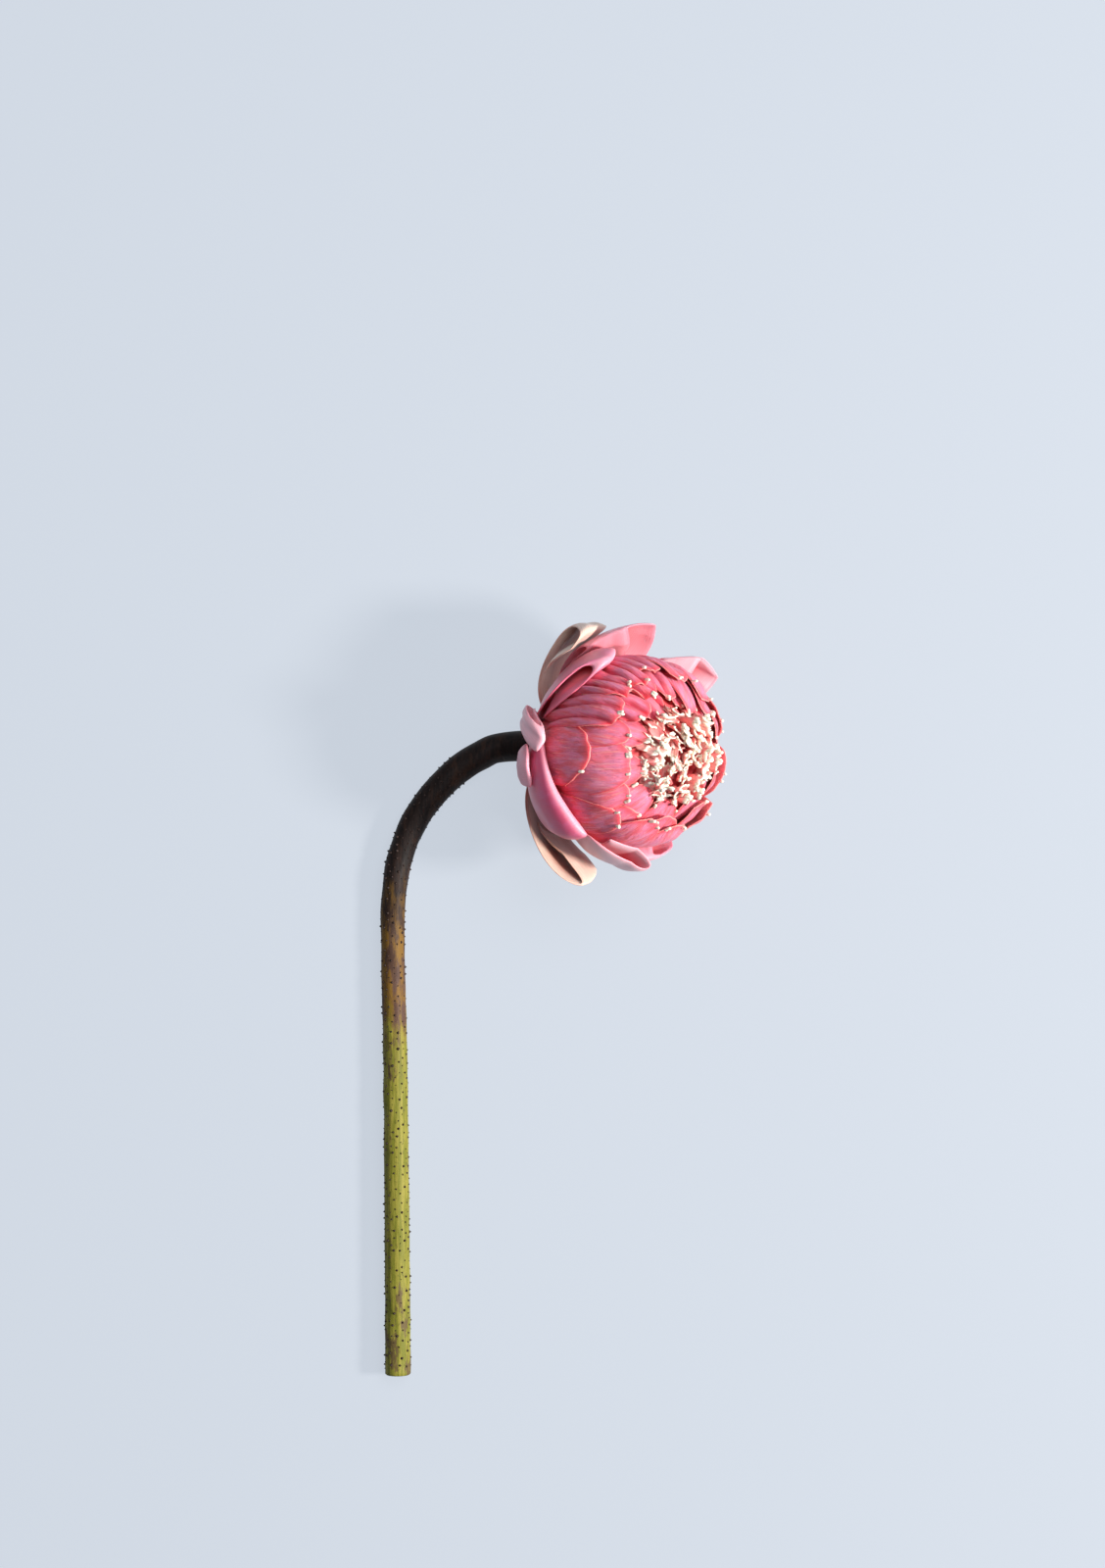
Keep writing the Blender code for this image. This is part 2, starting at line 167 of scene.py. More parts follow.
def attributeOf(tree, name, output="Fac"):
    return outputOf(tree, "ShaderNodeAttribute", None, output, attribute_name=name)


def apart(tree, vector):
    return addNode(tree, "ShaderNodeSeparateXYZ", {0: vector}).outputs


def palette(**tones):
    # display values from 0 to 255, as linear colours
    def linear(value):
        value = value / 255.0
        return value / 12.92 if value <= 0.04045 else ((value + 0.055) / 1.055) ** 2.4

    return {name: (*(linear(value) for value in tone), 1.0) for name, tone in tones.items()}


tissue = {"specular": 0.35, "glowRadius": (1.0, 0.32, 0.28), "glowDepth": 0.0018, "sheenRoughness": 0.4}


def newFinish(name, roughness, subsurface=0.0, sheen=0.0, others=None):
    finish = bpy.data.materials.new(name)
    finish.use_nodes = True
    values = {"Roughness": roughness, "Specular IOR Level": tissue["specular"]}
    if subsurface:
        values.update({"Subsurface Weight": subsurface, "Subsurface Radius": tissue["glowRadius"],
                       "Subsurface Scale": tissue["glowDepth"]})
    if sheen:
        values.update({"Sheen Weight": sheen, "Sheen Roughness": tissue["sheenRoughness"]})
    for key, value in {**values, **(others or {})}.items():
        finish.node_tree.nodes["Principled BSDF"].inputs[key].default_value = value
    return finish, finish.node_tree


def painted(finish, skin, height, depth, strength=1.0):
    # joins the skin's colour and a relief, its depth in millimetres, to the shader
    tree = finish.node_tree
    shader = tree.nodes["Principled BSDF"]
    tree.links.new(skin, shader.inputs["Base Color"])
    relief = outputOf(tree, "ShaderNodeBump", {"Height": height, "Distance": depth * mm,
                                               "Strength": strength}, "Normal")
    tree.links.new(relief, shader.inputs["Normal"])
    return finish


# Petal tissue. A petal carries two attributes: "petalMap" holds the distance across and along in millimetres
# and the side (1 outside, 0 inside), "petalShade" the distance from the rim, the share along and a tone.
# On petaloids the side's place is taken by how cream they are. Inner petals also have an attribute for the
# depth between their pleats, which the finish paints as shade in the valleys.

# The "inside" colours below are partly the inner face's own deeper colour and partly painted shade deep in
# the folds.
folded = {"veinSpacing": 0.95, "veinDepth": 0.3, **palette(
    base=(246, 176, 176), body=(222, 88, 124), tip=(224, 84, 114), inside=(250, 134, 142),
    margin=(232, 92, 114), vein=(200, 84, 116), bloomTint=(212, 130, 178), pale=(250, 196, 204))}
sepalLook = {"veinSpacing": 1.55, "veinDepth": 0.5, **palette(
    base=(164, 150, 124), body=(208, 178, 162), tip=(212, 166, 154), inside=(156, 88, 74),
    margin=(204, 148, 130), vein=(136, 80, 72), bloomTint=(178, 156, 144), pale=(232, 204, 186))}
# Of the inner colours, the foot colour is partly painted shade, the valley colour painted shade between the
# pleats and the mauve haze a painted reflection of the sky.
innerLook = palette(
    base=(222, 62, 70), body=(240, 122, 138), blush=(232, 88, 100), margin=(232, 68, 76),
    rim=(255, 172, 160), inside=(206, 52, 50), vein=(158, 62, 94), haze=(226, 138, 176),
    pale=(248, 186, 176), valley=(196, 40, 60), lining=(246, 158, 152))


def petalInputs(tree):
    where = attributeOf(tree, "petalMap", "Vector")
    return where, apart(tree, where), apart(tree, attributeOf(tree, "petalShade", "Vector"))


def foldedFinish(name, look, roughness):
    finish, tree = newFinish(name, roughness, 0.16, 0.04, {"Coat Weight": 0.25, "Coat Roughness": 0.38})
    where, (across, _, side), (rim, share, tone) = petalInputs(tree)
    wander = mottle(tree, where, (0.5, 0.09, 0.0), detail=2.0)
    turns = doMath(tree, "MULTIPLY_ADD", across, 2.0 * math.pi / look["veinSpacing"],
                   doMath(tree, "MULTIPLY", wander, 9.0))
    wave = doMath(tree, "MULTIPLY_ADD", doMath(tree, "SINE", turns), 0.5, 0.5)
    fading = fadeIn(tree, mottle(tree, where, (0.9, 0.12, 0.0)), 0.3, 0.62)
    vein = doMath(tree, "MULTIPLY", doMath(tree, "POWER", wave, 7.0), fading)
    clouds = mottle(tree, where, (0.16, 0.1, 1.0), detail=4.0)

    outside = ramp(tree, share, 0.02, 0.5, look["base"], look["body"])
    outside = ramp(tree, share, 0.55, 1.0, outside, look["tip"])
    # painted sheen: mauve clouds, partly the petal's own mauve and partly a painted reflection of the sky
    outside = tinted(tree, outside, look, ("bloomTint", fadeIn(tree, clouds, 0.42, 0.75), 0.4))
    outside = mixColours(tree, tone, outside, look["pale"])
    # painted shade: away from the rim and past the foot, deep in the fold, the inner face turns to the
    # "inside" colour
    depth = doMath(tree, "MULTIPLY", fadeIn(tree, rim, 3.0, 13.0), fadeIn(tree, share, 0.05, 0.3))
    inside = mixColours(tree, depth, mixColours(tree, tone, look["body"], look["pale"]), look["inside"])
    both = tinted(tree, mixColours(tree, side, inside, outside), look, ("vein", vein, look["veinDepth"]),
                  ("margin", fadeOut(tree, rim, 0.1, 1.5), 0.45))
    cells = mottle(tree, where, (2.2, 0.8, 1.0))
    height = doMath(tree, "MULTIPLY_ADD", vein, -0.6, doMath(tree, "MULTIPLY", cells, 0.7))
    return painted(finish, both, height, 0.12, 0.6)


def netOfVeins(tree, vector, stretch, width):
    cell = outputOf(tree, "ShaderNodeTexVoronoi", {"Vector": stretched(tree, vector, stretch), "Scale": 1.0},
                    "Distance", feature="DISTANCE_TO_EDGE", voronoi_dimensions="2D")
    return fadeOut(tree, cell, 0.0, width)


def innerFinish(name, look):
    finish, tree = newFinish(name, 0.5, 0.12, 0.08, {"Sheen Tint": (1.0, 0.86, 0.95, 1.0)})
    where, (_, _, side), (rim, share, tone) = petalInputs(tree)
    drift = mottle(tree, where, (0.5, 0.3, 1.0), detail=2.0, roughness=0.5, output="Color")
    bent = outputOf(tree, "ShaderNodeVectorMath", {0: drift, 1: (1.2, 1.2, 0.0), 2: where},
                    operation="MULTIPLY_ADD")
    vein = netOfVeins(tree, bent, (0.75, 0.1, 0.0), 0.12)
    fineVein = netOfVeins(tree, bent, (1.9, 0.6, 0.0), 0.2)
    clouds = mottle(tree, where, (0.22, 0.1, 1.0), detail=4.0)
    streaks = mottle(tree, where, (0.8, 0.08, 0.0), detail=2.0)

    skin = tinted(tree, look["body"], look, ("blush", tone, 0.8))
    # darker towards the foot: partly the petal's own red, partly painted shade where it goes under its
    # neighbours
    skin = ramp(tree, share, 0.3, 0.75, look["base"], skin)
    # painted sheen: mauve clouds towards the tips, a painted reflection of the sky
    haze = doMath(tree, "MULTIPLY", fadeIn(tree, clouds, 0.36, 0.62), fadeIn(tree, share, 0.4, 0.8))
    skin = tinted(tree, skin, look,
                  ("haze", haze, 0.7),
                  ("pale", fadeIn(tree, streaks, 0.5, 0.75), 0.4),
                  ("vein", vein, 0.17),
                  ("vein", fineVein, 0.1),
                  ("margin", fadeOut(tree, rim, 0.3, 4.2), 0.8),
                  ("rim", fadeOut(tree, rim, 0.15, 0.5), 0.6),
                  # painted shade in the valleys between the pleats
                  ("valley", fadeIn(tree, attributeOf(tree, "valley"), 0.3, 2.6), 0.7))
    lining = ramp(tree, share, 0.6, 0.95, look["inside"], look["lining"])
    cells = mottle(tree, where, (1.6, 0.9, 1.0), detail=4.0, roughness=0.6)
    crinkle = mottle(tree, bent, (0.5, 0.15, 1.0), detail=2.0)
    height = doMath(tree, "MULTIPLY_ADD", crinkle, 3.0, doMath(tree, "MULTIPLY_ADD", vein, -0.4, cells))
    return painted(finish, mixColours(tree, side, lining, skin), height, 0.3, 0.7)


outerFinish = foldedFinish("outerPetal", folded, 0.42)
sepalFinish = foldedFinish("sepal", sepalLook, 0.5)
globeFinish = innerFinish("innerPetal", innerLook)
print("petal finishes ready")


# Petals as thin closed shells

def unit(vector):
    return vector / np.linalg.norm(vector)


def surfaceNormals(grid):
    normals = np.cross(np.gradient(grid, axis=0), np.gradient(grid, axis=1))
    length = np.linalg.norm(normals, axis=2, keepdims=True)
    return normals / np.maximum(length, 1e-9)


def bothSides(middle, thickness, normals):
    half = 0.5 * thickness[..., None] * normals
    return np.concatenate(((middle + half).reshape(-1, 3), (middle - half).reshape(-1, 3)))


def shellFaces(columns, rows):
    number = np.arange(columns * rows).reshape(columns, rows)
    quads = np.stack((number[:-1, :-1], number[1:, :-1], number[1:, 1:], number[:-1, 1:]), axis=-1)
    quads = quads.reshape(-1, 4)
    under = quads[:, ::-1] + columns * rows
    loop = np.concatenate((number[:, 0], number[-1, 1:], number[-2::-1, -1], number[0, -2:0:-1]))
    following = np.roll(loop, -1)
    rim = np.stack((following, loop, loop + columns * rows, following + columns * rows), axis=-1)
    return np.concatenate((quads, under, rim))


def facedOut(points, faces):
    # turns all the faces over if together they face inwards
    volume = 0.0
    for size in sorted({len(face) for face in faces}):
        corners = points[np.array([face for face in faces if len(face) == size])]
        for k in range(1, size - 1):
            volume += np.sum(corners[:, 0] * np.cross(corners[:, k], corners[:, k + 1]))
    return faces if volume > 0.0 else [face[::-1] for face in faces]


def meshFrom(name, points, faces):
    mesh = bpy.data.meshes.new(name)
    mesh.from_pydata(points.tolist(), [], facedOut(points, faces))
    return mesh


def sideFaces(rings, sides):
    return [(ring * sides + side, ring * sides + (side + 1) % sides,
             (ring + 1) * sides + (side + 1) % sides, (ring + 1) * sides + side)
            for ring in range(rings - 1) for side in range(sides)]


def tipFaces(rings, sides):
    top = (rings - 1) * sides
    return [(top + side, top + (side + 1) % sides, top + sides) for side in range(sides)]


def linked(name, data):
    thing = bpy.data.objects.new(name, data)
    bpy.context.scene.collection.objects.link(thing)
    return thing


def addPiece(name, mesh, finish, nodes=()):
    mesh.materials.clear()
    mesh.materials.append(finish)
    mesh.shade_smooth()
    piece = linked(name, mesh)
    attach(piece, "root")
    if nodes:
        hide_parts(*nodes)
    return piece


def setVectors(mesh, name, values):
    data = mesh.attributes.new(name, "FLOAT_VECTOR", "POINT")
    data.data.foreach_set("vector", np.asarray(values, dtype=np.float32).reshape(-1))


def setNumbers(mesh, name, values):
    mesh.attributes.new(name, "FLOAT", "POINT").data.foreach_set("value", values)


def shellMesh(name, middle, thickness, across, along, rim, tone):
    columns, rows = middle.shape[:2]
    normals = surfaceNormals(middle)
    if np.sum(normals[:, 0] * middle[:, 0]) < 0.0:
        normals = -normals
    points = placed(bothSides(middle, thickness, normals))
    points[:, 2] = np.maximum(points[:, 2], 0.0)  # nothing reaches below the table
    mesh = meshFrom(name, points, shellFaces(columns, rows).tolist())
    share = np.broadcast_to(np.linspace(0.0, 1.0, rows), (columns, rows))
    tone = np.broadcast_to(tone, (columns, rows))
    flat = [np.concatenate((value.reshape(-1), value.reshape(-1)))
            for value in (across, along, rim, share, tone)]
    side = np.concatenate((np.ones(columns * rows), np.zeros(columns * rows)))
    setVectors(mesh, "petalMap", np.stack((flat[0], flat[1], side), axis=1))
    setVectors(mesh, "petalShade", np.stack(flat[2:], axis=1))
    return mesh


def lengthsAlong(grid, axis):
    steps = np.linalg.norm(np.diff(grid, axis=axis), axis=2)
    start = np.zeros((steps.shape[0], 1)) if axis == 1 else np.zeros((1, steps.shape[1]))
    return np.concatenate((start, np.cumsum(steps, axis=axis)), axis=axis)


def petalMeasures(grid, shape):
    # the length along, the greatest width, the distance from the rim and the thickness, which thins there
    along, across = lengthsAlong(grid, 1), lengthsAlong(grid, 0)
    width = across[-1:, :]
    rim = np.minimum(np.minimum(across, width - across), along[:, -1:] - along)
    thick = shape["rimThickness"] + (shape["thickness"] - shape["rimThickness"]) * smoothStep(
        rim / shape["rimWidth"])
    return along, np.max(width), rim, thick


def waves(seed, count, low, high):
    # a smooth random surface: a sum of sines over (across, along) with the given range of turns
    pick = np.random.default_rng(seed)
    turns = pick.uniform(low, high, (count, 2))
    start = pick.uniform(0.0, 2.0 * math.pi, count)
    heading = pick.uniform(-1.0, 1.0, count)

    def height(first, second):
        total = np.zeros(np.broadcast(first, second).shape)
        for (a, b), phase, lean in zip(turns, start, heading):
            total = total + np.sin(2.0 * math.pi * (a * first * np.sign(lean) + b * second) + phase)
        return total / math.sqrt(count)

    return height


# Folded petals and sepals: a strip between two ribs, as in the solid parts, with a finer surface.
# "pale" is the share of the pale colour.
foldedShape = {
    "baseTheta": 163.0, "baseRadius": 38.3, "tierStep": 1.2, "foldGap": 1.7,
    "columns": 28, "riseRows": 26, "turnRows": 22, "flapRows": 14,
    "thickness": 0.85, "rimThickness": 0.35, "rimWidth": 2.0, "unevenness": 0.28, "pale": 0.2,
    "waistInset": 2.0,
}
plainRib = {
    "flap": 0.32, "hook": (1.0, 1.0), "lean": 0.0, "skew": 0.0, "turn": 0.16, "swing": (0.0, 1.0),
    "recess": 0.0, "curl": 0.0,
}


def rib(base, theta, psi, crest, out, inside, **others):
    return {"base": base, "theta": theta, "psi": psi, "crest": crest, "out": out, "in": inside,
            "waist": out - foldedShape["waistInset"], **plainRib, **others}


sepals = {
    "sepal_top": dict(tier=2, bulge=0.3, arch=-1.0, pale=0.6, ribs=(
        rib(12.0, 110.0, 7.0, 51.4, 52.6, 49.0, flap=0.25, lean=-4.0, skew=4.0),
        rib(50.0, 111.0, 25.0, 54.9, 53.6, 48.6, waist=46.0, flap=0.32, hook=(0.9, 1.9), lean=-16.0,
            skew=7.0, swing=(0.4, 0.95)))),
    "sepal_bottom": dict(tier=2, bulge=1.2, arch=-2.0, ribs=(
        rib(122.0, 103.0, 166.0, 56.0, 54.5, 48.8, waist=45.4, flap=0.25, hook=(0.85, 1.6), skew=7.0,
            turn=0.2),
        rib(170.0, 111.0, 184.0, 51.6, 51.8, 48.5, waist=48.0, flap=0.25))),
    "sepal_under_left": dict(tier=2, bulge=0.6, arch=-5.0, ribs=(
        rib(222.0, 112.0, 216.0, 50.0, 50.6, 48.0, flap=0.25),
        rib(258.0, 110.0, 258.0, 50.0, 50.6, 48.0, flap=0.25))),
    "sepal_under_right": dict(tier=2, bulge=0.6, arch=-5.0, ribs=(
        rib(266.0, 111.0, 265.0, 49.0, 49.6, 47.0, flap=0.25),
        rib(304.0, 116.0, 300.0, 49.6, 50.6, 48.2, flap=0.25))),
}

outerPetals = {
    "outer_petal_top": dict(tier=0, bulge=0.6, arch=-2.0, pale=0.6, ribs=(
        rib(-34.0, 88.7, -3.0, 50.0, 48.4, 42.5, waist=43.4, hook=(1.0, 2.8), skew=17.0, turn=0.13,
            swing=(0.28, 0.62)),
        rib(30.0, 110.0, 24.0, 45.5, 46.8, 44.2, flap=0.2))),
    "outer_petal_top_left": dict(tier=0, bulge=0.2, arch=-11.0, ribs=(
        rib(44.0, 105.0, 14.0, 41.0, 42.5, 38.9, waist=41.4, hook=(0.7, 1.6)),
        rib(78.0, 86.5, 46.0, 43.0, 44.2, 39.5, waist=41.1, flap=0.42, hook=(0.6, 2.4), lean=-3.0, turn=0.2,
            recess=0.12))),
    "outer_petal_left": dict(tier=1, bulge=0.2, arch=-5.0, pale=0.8, ribs=(
        rib(57.0, 101.0, 82.0, 45.0, 47.6, 42.8, waist=45.8, flap=0.42, hook=(0.8, 1.2), turn=0.2),
        rib(70.0, 99.0, 95.0, 45.6, 46.8, 43.2, waist=46.0, flap=0.4, hook=(0.8, 1.2), turn=0.2))),
    "outer_petal_left_low": dict(tier=1, bulge=0.3, arch=-3.0, pale=0.6, ribs=(
        rib(104.0, 113.0, 92.0, 45.0, 46.4, 43.9, hook=(1.0, 3.0)),
        rib(113.0, 108.0, 114.0, 46.2, 47.4, 44.9))),
    "outer_petal_lower_left": dict(tier=0, bulge=0.4, arch=-2.0, pale=0.0, ribs=(
        rib(92.0, 109.0, 86.0, 40.4, 41.6, 38.9),
        rib(146.0, 84.0, 144.0, 42.4, 46.8, 38.7, waist=45.4, flap=0.3, turn=0.2, curl=1.6))),
    # its full pale tone is partly painted light: the petal lies partly in shadow and is paled to look lit
    "outer_petal_bottom": dict(tier=0, bulge=0.4, arch=0.0, pale=1.0, ribs=(
        rib(148.5, 77.0, 184.0, 45.6, 44.0, 39.2, waist=41.4, flap=0.45, hook=(0.07, 1.8), lean=-5.0),
        rib(170.0, 106.0, 190.0, 45.4, 45.2, 41.0, waist=43.2, hook=(0.8, 1.3)))),
    "outer_petal_bottom_right": dict(tier=0, bulge=0.6, arch=-2.0, pale=0.4, ribs=(
        rib(194.0, 97.0, 194.0, 43.0, 44.4, 39.4),
        rib(238.5, 94.0, 219.0, 45.6, 46.2, 39.4, hook=(1.0, 4.0), skew=-14.0, turn=0.16,
            swing=(0.15, 0.8)))),
    "outer_petal_under_left": dict(tier=0, bulge=0.6, arch=-6.0, ribs=(
        rib(242.0, 98.0, 241.0, 43.0, 44.2, 40.0),
        rib(261.5, 98.0, 261.5, 43.0, 44.2, 40.0))),
    "outer_petal_under_right": dict(tier=0, bulge=0.6, arch=-6.0, ribs=(
        rib(265.0, 97.0, 264.0, 43.0, 44.2, 40.0),
        rib(284.0, 98.0, 292.0, 43.0, 44.2, 40.0))),
    "outer_petal_far": dict(tier=0, bulge=0.8, arch=-2.0, pale=1.0, ribs=(
        rib(289.0, 85.5, 312.0, 49.8, 47.6, 40.4, waist=43.0, hook=(0.8, 2.6), skew=14.0, turn=0.12,
            swing=(0.28, 0.62)),
        rib(322.0, 103.0, 333.0, 43.6, 44.8, 40.0))),
}


def outerLayerRadius(part, baseRadius, climb):
    return (baseRadius + (part["waist"] - baseRadius) * (1.0 - (1.0 - climb) ** 4)
            + (part["out"] - part["waist"]) * climb ** 2)


def ribAngles(part, course):
    baseTheta = foldedShape["baseTheta"]
    theta = baseTheta + (part["theta"] - baseTheta) * course ** part["hook"][0]
    psi = part["base"] + (part["psi"] - part["base"]) * course ** part["hook"][1]
    return theta, psi


def evenSteps(part, top, count):
    fine = top * np.linspace(0.0, 1.0, 401) ** 10
    theta, psi = np.radians(ribAngles(part, fine))
    places = np.stack((np.sin(theta) * np.cos(psi), np.sin(theta) * np.sin(psi), np.cos(theta)), axis=1)
    length = np.concatenate(([0.0], np.cumsum(np.linalg.norm(np.diff(places, axis=0), axis=1))))
    return np.interp(np.linspace(0.0, length[-1], count, endpoint=False), length, fine)


def ribCourse(part, baseRadius):
    riseRows, turnRows, flapRows = (foldedShape[key] for key in ("riseRows", "turnRows", "flapRows"))
    top = 1.0 - part["turn"]
    rise = evenSteps(part, top, riseRows)
    angle = np.linspace(0.0, math.pi, turnRows + 1)
    back = np.linspace(top, 1.0 - part["flap"] - part["turn"], flapRows + 1)[1:]
    course = np.concatenate((rise, top + part["turn"] * np.sin(angle), back))
    middle = 0.5 * (part["out"] + part["in"])
    half = 0.5 * (part["out"] - part["in"])
    riseRadius = outerLayerRadius(part, baseRadius, rise / top)
    turnRadius = middle + half * np.cos(angle) + (part["crest"] - middle) * np.sin(angle)
    backRadius = np.minimum(part["in"],
                            outerLayerRadius(part, baseRadius, back / top) - foldedShape["foldGap"])
    radius = np.concatenate((riseRadius, turnRadius, backRadius))
    theta, psi = ribAngles(part, course)
    foldShare = np.concatenate((np.zeros(riseRows), 0.5 - 0.5 * np.cos(angle), np.ones(flapRows)))
    swingFrom, swingTo = part["swing"]
    shift = smoothStep((foldShare - swingFrom) / (swingTo - swingFrom))
    climb = np.concatenate((rise / top, np.ones(turnRows + 1), np.ones(flapRows)))
    away = part["recess"] * smoothStep(climb * 1.6 - 0.6) * (1.0 - shift)
    return theta + part["lean"] * shift, psi + part["skew"] * shift, radius, foldShare, away


def foldedGrid(part, seed):
    baseTheta = foldedShape["baseTheta"]
    baseRadius = foldedShape["baseRadius"] + part["tier"] * foldedShape["tierStep"]
    first, second = (ribCourse(course, baseRadius) for course in part["ribs"])
    s = np.linspace(-1.0, 1.0, foldedShape["columns"] + 1)[:, None]
    crown = 1.0 - s * s
    mix = 0.5 * (s + 1.0)
    mix = first[4] * (1.0 - mix) + (1.0 - second[4]) * mix
    theta, psi, radius, foldShare = (a * (1.0 - mix) + b * mix for a, b in zip(first[:4], second[:4]))
    lift = np.clip((baseTheta - theta) / (baseTheta - 100.0), 0.0, 1.0)
    theta = theta + part["arch"] * crown * lift
    radius = radius + part["bulge"] * crown * lift * (1.0 - foldShare)
    curl = np.where(s > 0.0, part["ribs"][1]["curl"], part["ribs"][0]["curl"])
    margin = smoothStep((np.abs(s) - 0.8) / 0.2) * curl
    radius = radius - margin * lift * (1.0 - 2.0 * foldShare)
    along = np.broadcast_to(np.linspace(0.0, 1.0, theta.shape[1]), theta.shape)
    uneven = waves(seed, 5, 0.3, 1.3)(s, along)
    radius = radius + foldedShape["unevenness"] * uneven * lift
    return flowerPoints(theta, psi, radius), foldShare


def addFoldedPetal(name, part, seed, finish):
    grid, foldShare = foldedGrid(part, seed)
    along, width, rim, thick = petalMeasures(grid, foldedShape)
    s = np.linspace(-0.5, 0.5, grid.shape[0])[:, None]
    acrossMap = s * width + np.zeros_like(along)
    crest = smoothStep((foldShare - 0.2) / 0.25) * (1.0 - smoothStep((foldShare - 0.6) / 0.3))
    tone = part.get("pale", foldedShape["pale"])
    tone = tone + max(0.0, 0.5 - tone) * crest
    mesh = shellMesh(name, grid, thick, acrossMap, along, rim, tone)
    return addPiece(name + "_skin", mesh, finish, [name])


for number, (name, part) in enumerate(sepals.items()):
    addFoldedPetal(name, part, 11 + number, sepalFinish)
for number, (name, part) in enumerate(outerPetals.items()):
    addFoldedPetal(name, part, 41 + number, outerFinish)
print("folded petals ready")


# Inner petals in three closed layers: psi, theta of the tip, half width in degrees and squareness of the end
innerLayers = (
    ((94.0, 70.0, 20.0, 1.9), (139.0, 61.0, 13.0, 2.4), (164.0, 49.0, 16.0, 2.4),
     (193.0, 50.0, 18.0, 2.2), (227.0, 58.0, 20.0, 2.2), (264.0, 62.0, 20.0, 2.2),
     (301.0, 58.0, 20.0, 2.2), (334.0, 47.0, 17.0, 2.2), (359.0, 53.0, 12.5, 2.8),
     (16.0, 63.0, 12.0, 2.8), (32.0, 58.0, 11.0, 2.8), (46.0, 60.0, 10.0, 2.8), (64.0, 57.0, 14.0, 3.4)),
    ((77.0, 48.0, 13.0, 2.4), (102.0, 46.0, 19.3, 3.4), (126.0, 50.5, 13.0, 2.8),
     (149.0, 54.0, 16.0, 2.2), (180.0, 45.0, 20.0, 2.2), (219.0, 45.0, 20.0, 2.2),
     (258.0, 48.0, 20.0, 2.2), (297.0, 46.0, 20.0, 2.2), (328.0, 39.0, 16.0, 2.2),
     (350.5, 33.0, 13.5, 2.8), (13.0, 44.0, 13.0, 2.4), (31.0, 49.0, 12.0, 2.4), (52.0, 43.0, 15.0, 2.8)),
    ((72.0, 37.0, 18.0, 2.2), (108.0, 36.0, 17.0, 2.2), (143.0, 36.0, 18.0, 2.2),
     (179.0, 36.0, 18.0, 2.2), (215.0, 36.0, 18.0, 2.2), (252.0, 38.0, 18.0, 2.2),
     (288.0, 36.0, 18.0, 2.2), (323.0, 38.0, 17.0, 2.2), (0.0, 39.0, 18.0, 2.2), (36.0, 35.0, 18.0, 2.2)),
)
innerShape = {
    "baseTheta": 158.0, "layerSpacing": 2.8, "imbrication": 0.85, "edgeDrop": 0.3, "columns": 40, "rows": 46,
    "thickness": 0.6, "rimThickness": 0.28, "rimWidth": 1.6, "unevenness": 0.3, "plumpness": 0.7,
    "pleats": 4.4, "leastPleats": 0.3, "pleatedPsi": 42.0, "pleatTurns": 3.1, "tipCurl": 0.8, "rimTuck": 0.6,
    "ragged": 0.5, "overlap": 1.1, "shoulder": (0.42, 14.0), "widestAt": 0.6, "risenAt": 0.45,
    "leastSpread": 0.55,
}


def innerGrid(psi, tip, halfWidth, squareness, radius, seed, pleatDepth):
    shape = innerShape
    across = np.sin(np.linspace(-0.5, 0.5, shape["columns"] + 1) * math.pi)
    s, v = np.meshgrid(across, np.linspace(0.0, 1.0, shape["rows"] + 1), indexing="ij")
    slant, drop = shape["shoulder"]
    top = tip + (slant * (90.0 - tip) + drop) * np.abs(s) ** squareness
    notch = waves(seed + 500, 4, 1.5, 4.0)(s, 0.0 * s)
    theta = shape["baseTheta"] + (top - shape["baseTheta"]) * v + shape["ragged"] * notch * v ** 12
    width = shape["overlap"] * halfWidth * (0.34 + 0.66 * smoothStep(v / shape["widestAt"]))
    spread = width / np.maximum(np.sin(np.radians(theta)), shape["leastSpread"])
    rise = smoothStep(v / shape["risenAt"])
    uneven = waves(seed, 6, 0.4, 1.6)(s, 1.6 * v) * shape["unevenness"]
    wobble = 0.16 * np.sin(2.0 * math.pi * (0.9 * v + seed * 0.37)) + 0.1 * np.sin(9.0 * v + seed)
    ridge = np.abs(np.sin(0.5 * math.pi * shape["pleatTurns"] * (s + wobble) * (1.6 - 0.6 * v) + seed))
    pleat = (np.sqrt(ridge + 0.02) - 0.7) * pleatDepth * (1.0 - np.abs(s) ** 6)
    curl = shape["tipCurl"] * smoothStep((v - 0.86) / 0.14) * math.sin(seed * 1.7)
    tuck = -shape["rimTuck"] * np.abs(s) ** 8
    petalRadius = globeRadiusAt(theta, radius) + shape["imbrication"] * s
    petalRadius = petalRadius - shape["edgeDrop"] * s * s * smoothStep(v / shape["widestAt"])
    petalRadius = petalRadius + rise * (uneven + pleat + curl + tuck + shape["plumpness"] * (1.0 - s * s))
    # the depth between the pleats, which the finish paints as shade
    valley = (1.0 - ridge) * pleatDepth * (1.0 - np.abs(s) ** 6)
    return flowerPoints(theta, psi + s * spread, petalRadius), valley


